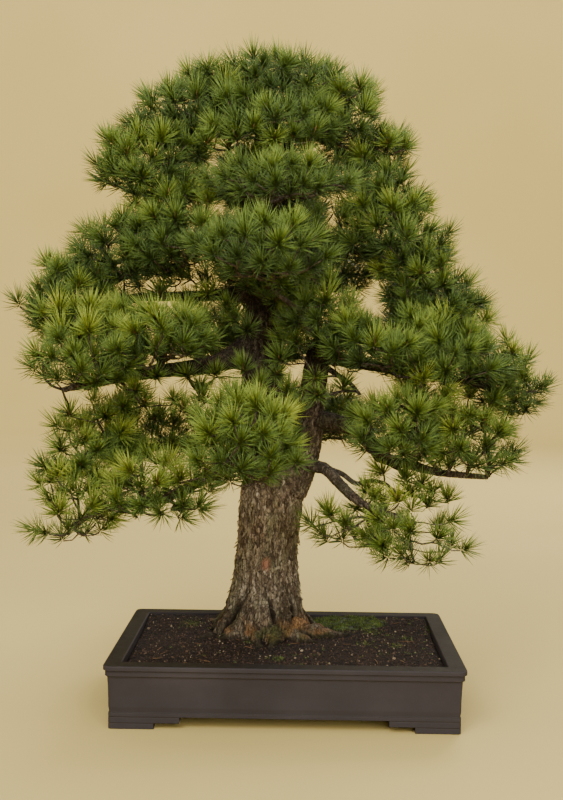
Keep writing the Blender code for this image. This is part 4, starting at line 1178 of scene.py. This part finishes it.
def make_lights():
    world = bpy.data.worlds.new("studio")
    world.use_nodes = True
    sky = world.node_tree.nodes["Background"].inputs
    sky["Color"].default_value = (1.0, 0.96, 0.88, 1.0)
    sky["Strength"].default_value = 0.50
    bpy.context.scene.world = world
    add_light("key", (-1.1, -2.7, 2.7), (0.0, 0.0, 0.55), (1.8, 1.6), 112.0, (1.0, 0.96, 0.88))
    add_light("front", (1.0, -3.0, 1.1), (0.0, 0.0, 0.35), (1.8, 1.4), 62.0, (1.0, 0.97, 0.91))
    add_light("top", (0.2, 0.1, 3.2), (0.0, 0.0, 0.5), (2.0, 2.0), 40.0, (1.0, 0.97, 0.90))
    add_light("wall", (0.0, 3.6, 4.6), (0.0, 7.0, 0.8), (4.0, 1.0), 120.0, (1.0, 0.95, 0.84))
    add_light("back", (1.4, 3.0, 2.6), (0.0, 0.0, 0.5), (1.8, 1.6), 85.0, (1.0, 0.97, 0.92))


def make_camera():
    """The camera stands before the tree, a little over half its height, and looks down a little."""
    data = bpy.data.cameras.new("camera")
    data.lens = 50.0
    data.sensor_width = 36.0
    camera = link("camera", data)
    turn, tilt, roll = (math.radians(a) for a in (0.909, -3.041, -0.653))
    facing = Matrix.Rotation(turn, 4, "Z") @ Matrix.Rotation(tilt, 4, "X") @ Matrix.Rotation(roll, 4, "Y")
    level = Matrix.Rotation(math.pi / 2, 4, "X")
    camera.matrix_world = Matrix.Translation((0.017, -1.855, 0.600)) @ facing @ level
    bpy.context.scene.camera = camera


# ---- build ----


def set_material(node, material):
    """Gives a CAD node its one material."""
    NODES[node].data.materials.clear()
    NODES[node].data.materials.append(material)


def add_twigs(name, bases, leans, anchors):
    """A piece of twigs that join tufts to the wood."""
    points, faces = tube_arrays(grow_twigs(bases, leans, anchors))
    new_piece(name, points, faces, twig_bark)


def placed_tufts(name, places, drift, lean, spread, tone):
    """Needles on tufts at listed places, each a little off its place. Returns (bases, leans)."""
    bases = np.array(places) / 1000 + RNG.normal(0, drift, (len(places), 3))
    leans = unit(np.array(lean) + RNG.normal(0, spread, bases.shape))
    tones = RNG.normal(tone, 0.06, len(bases))
    sizes = RNG.uniform(0.88, 1.0, len(bases))
    make_needles(name, [(bases, leans, tones, sizes, SKIN_NEEDLES)], needles)
    return bases, leans


make_stage()
make_lights()
make_camera()

set_material("pot", clay_material())

soil_height, soil_low, soil_high = soil_surface()
TRUNK_SOLID = tree_of(*mesh_arrays(NODES["trunk"].data))
# The last two numbers are how bright the bark is painted under the crown and up in it: painted shade, darker
# on the branches than on the trunk.
trunk_bark = make_wood("trunk_bark", ["trunk"], 0.0016, 0.0054, 2.6, 0.0032, 0.0008, 8, 1.0, 1.0, 0.30)
make_flakes(trunk_bark, trunk_bark.data.materials[0])
make_surface_roots(soil_height, trunk_bark.data.materials[0])
make_wood("leader_bark", ["right_leader"], 0.0016, 0.0054, 2.4, 0.0024, 0.0008, 8, 1.1, 0.8, 0.30)
make_wood("branch_bark", BRANCHES, 0.0017, 0.0050, 2.2, 0.0012, 0.0008, 4, 1.5, 0.40, 0.27)
make_soil(soil_height, soil_low, soil_high)
make_grains(soil_height, soil_low, soil_high, TRUNK_SOLID)
moss_leaf = moss_material()
make_moss(soil_height, moss_leaf)
make_seedlings(soil_height, soil_low, soil_high, moss_leaf)
make_litter(soil_height, soil_low, soil_high)

stops = [(0.0, (0.012, 0.012, 0.013)), (1.0, (0.026, 0.027, 0.029))]
plastic = granular_material("mesh_plastic_finish", stops, 900.0, 0.15, 0.5)
stops = [(0.0, (0.10, 0.08, 0.06)), (0.5, (0.22, 0.18, 0.13)), (1.0, (0.38, 0.33, 0.26))]
gravel = granular_material("pumice_gravel", stops, 260.0, 1.0)
stops = [(0.0, (0.30, 0.17, 0.10)), (1.0, (0.42, 0.25, 0.15))]
wire = granular_material("annealed_wire", stops, 500.0, 0.1, 0.4)
wire.node_tree.nodes["Principled BSDF"].inputs["Metallic"].default_value = 1.0
set_material("drainage_gravel", gravel)
for side in ("left", "right"):
    set_material("drain_mesh_" + side, plastic)
    set_material("drain_clip_" + side, wire)

needles = needle_material()
# Twig bark is painted dark with the shade under and in the crown.
twig_bark = bark_material("twig_bark", 2.0, 0.34, 0.27)
buds = bud_material()
solids = {pad: tree_of(*mesh_arrays(NODES[pad].data)) for pad in PADS}
boxes = {pad: [np.array(corner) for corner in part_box(pad)] for pad in PADS}
centrelines = np.concatenate([axis_points(node) for node in BRANCHES + ["right_leader", "trunk"]])
wood = tree_of(*joined_arrays([NODES[node].data for node in ["trunk", "right_leader"] + BRANCHES]))

# The pads: needles, buds and twigs. Near pads of one tier bridge the gap between them.
bud_bases, bud_leans = [], []
for pad in PADS:
    low, high = boxes[pad]
    tier_gap = 0.075 if pad.endswith("_front") else 0.2
    near = [other for other in PADS if other != pad
            and (boxes[other][0] < high + 0.01).all() and (boxes[other][1] > low - 0.01).all()
            and abs(sum(boxes[other])[2] - (low + high)[2]) / 2 < tier_gap]
    others = [solids[other] for other in near]
    bases, leans, lift, depths, on_skin = tufts_of(pad, solids[pad], others, wood)
    # Painted light and shade: tufts high in a pad and on its skin get a brighter tone, low ones and ones
    # deeper behind the skin a darker one.
    tones = 0.44 + BRIGHT_PADS.get(pad, 0.0) + 0.17 * lift + RNG.normal(0, 0.055, len(bases))
    tones = tones + np.where(on_skin, 0.13, -0.08 * np.minimum(depths / 0.02, 1.0))
    sizes = RNG.uniform(0.90, 1.06, len(bases)) * np.where(on_skin, 1.0, 0.92)
    groups = [(bases[chosen], leans[chosen], tones[chosen], sizes[chosen], each)
              for chosen, each in ((on_skin, SKIN_NEEDLES), (~on_skin, FILL_NEEDLES)) if chosen.any()]
    make_needles(pad, groups, needles)
    budded = on_skin & (RNG.random(len(bases)) < 0.6)
    bud_bases.append(bases[budded])
    bud_leans.append(leans[budded])
    centre = (low + high) / 2
    away = np.linalg.norm((centrelines - centre) / (high - low), axis=1)
    order = np.argsort(away)
    anchors = centrelines[order[:max(int((away < 0.55).sum()), 3)]]
    add_twigs(pad + "_twigs", bases, leans, anchors)

# The sprays between the pads
for branch in SPRAYED:
    bases, leans, line = sprays_of(branch, list(solids.values()), wood)
    if not len(bases):
        continue
    # The sprays get a darker tone: painted shade between the pads.
    tones = RNG.normal(0.40, 0.07, len(bases))
    sizes = RNG.uniform(0.82, 0.98, len(bases))
    piece = make_needles(branch, [(bases, leans, tones, sizes, FILL_NEEDLES)], needles)
    piece.name = branch + "_sprays"
    add_twigs(branch + "_shoots", bases, leans, line)

# The single tufts before and behind the trunk, and the bare branches that carry some of them
bases, leans = placed_tufts("front", FRONT_TUFTS, 0.003, (0.0, -0.55, 0.75), 0.28, 0.58)
bud_bases.append(bases)
bud_leans.append(leans)
# The back tufts get a darker tone: painted shade.
back_bases, back_leans = placed_tufts("back", BACK_TUFTS, 0.004, (0.0, 0.55, 0.70), 0.32, 0.42)
add_twigs("back_twigs", back_bases, back_leans, centrelines[centrelines[:, 2] > 0.55])
bare = [smooth_line(route) for route in BARE_BRANCHES]
anchors = np.concatenate([centrelines[centrelines[:, 2] > 0.45]] + [line[:, :3] for line in bare])
add_twigs("front_twigs", bases, leans, anchors)
points, faces = tube_arrays([(line[:, :3], line[:, 3]) for line in bare], 8)
new_piece("bare_branches", points, faces, twig_bark)
make_buds(np.concatenate(bud_bases), np.concatenate(bud_leans), buds)

sizes = {"cad": [list(map(float, corner)) for corner in CAD_BOX],
         "visual": [list(map(float, corner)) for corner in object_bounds()]}
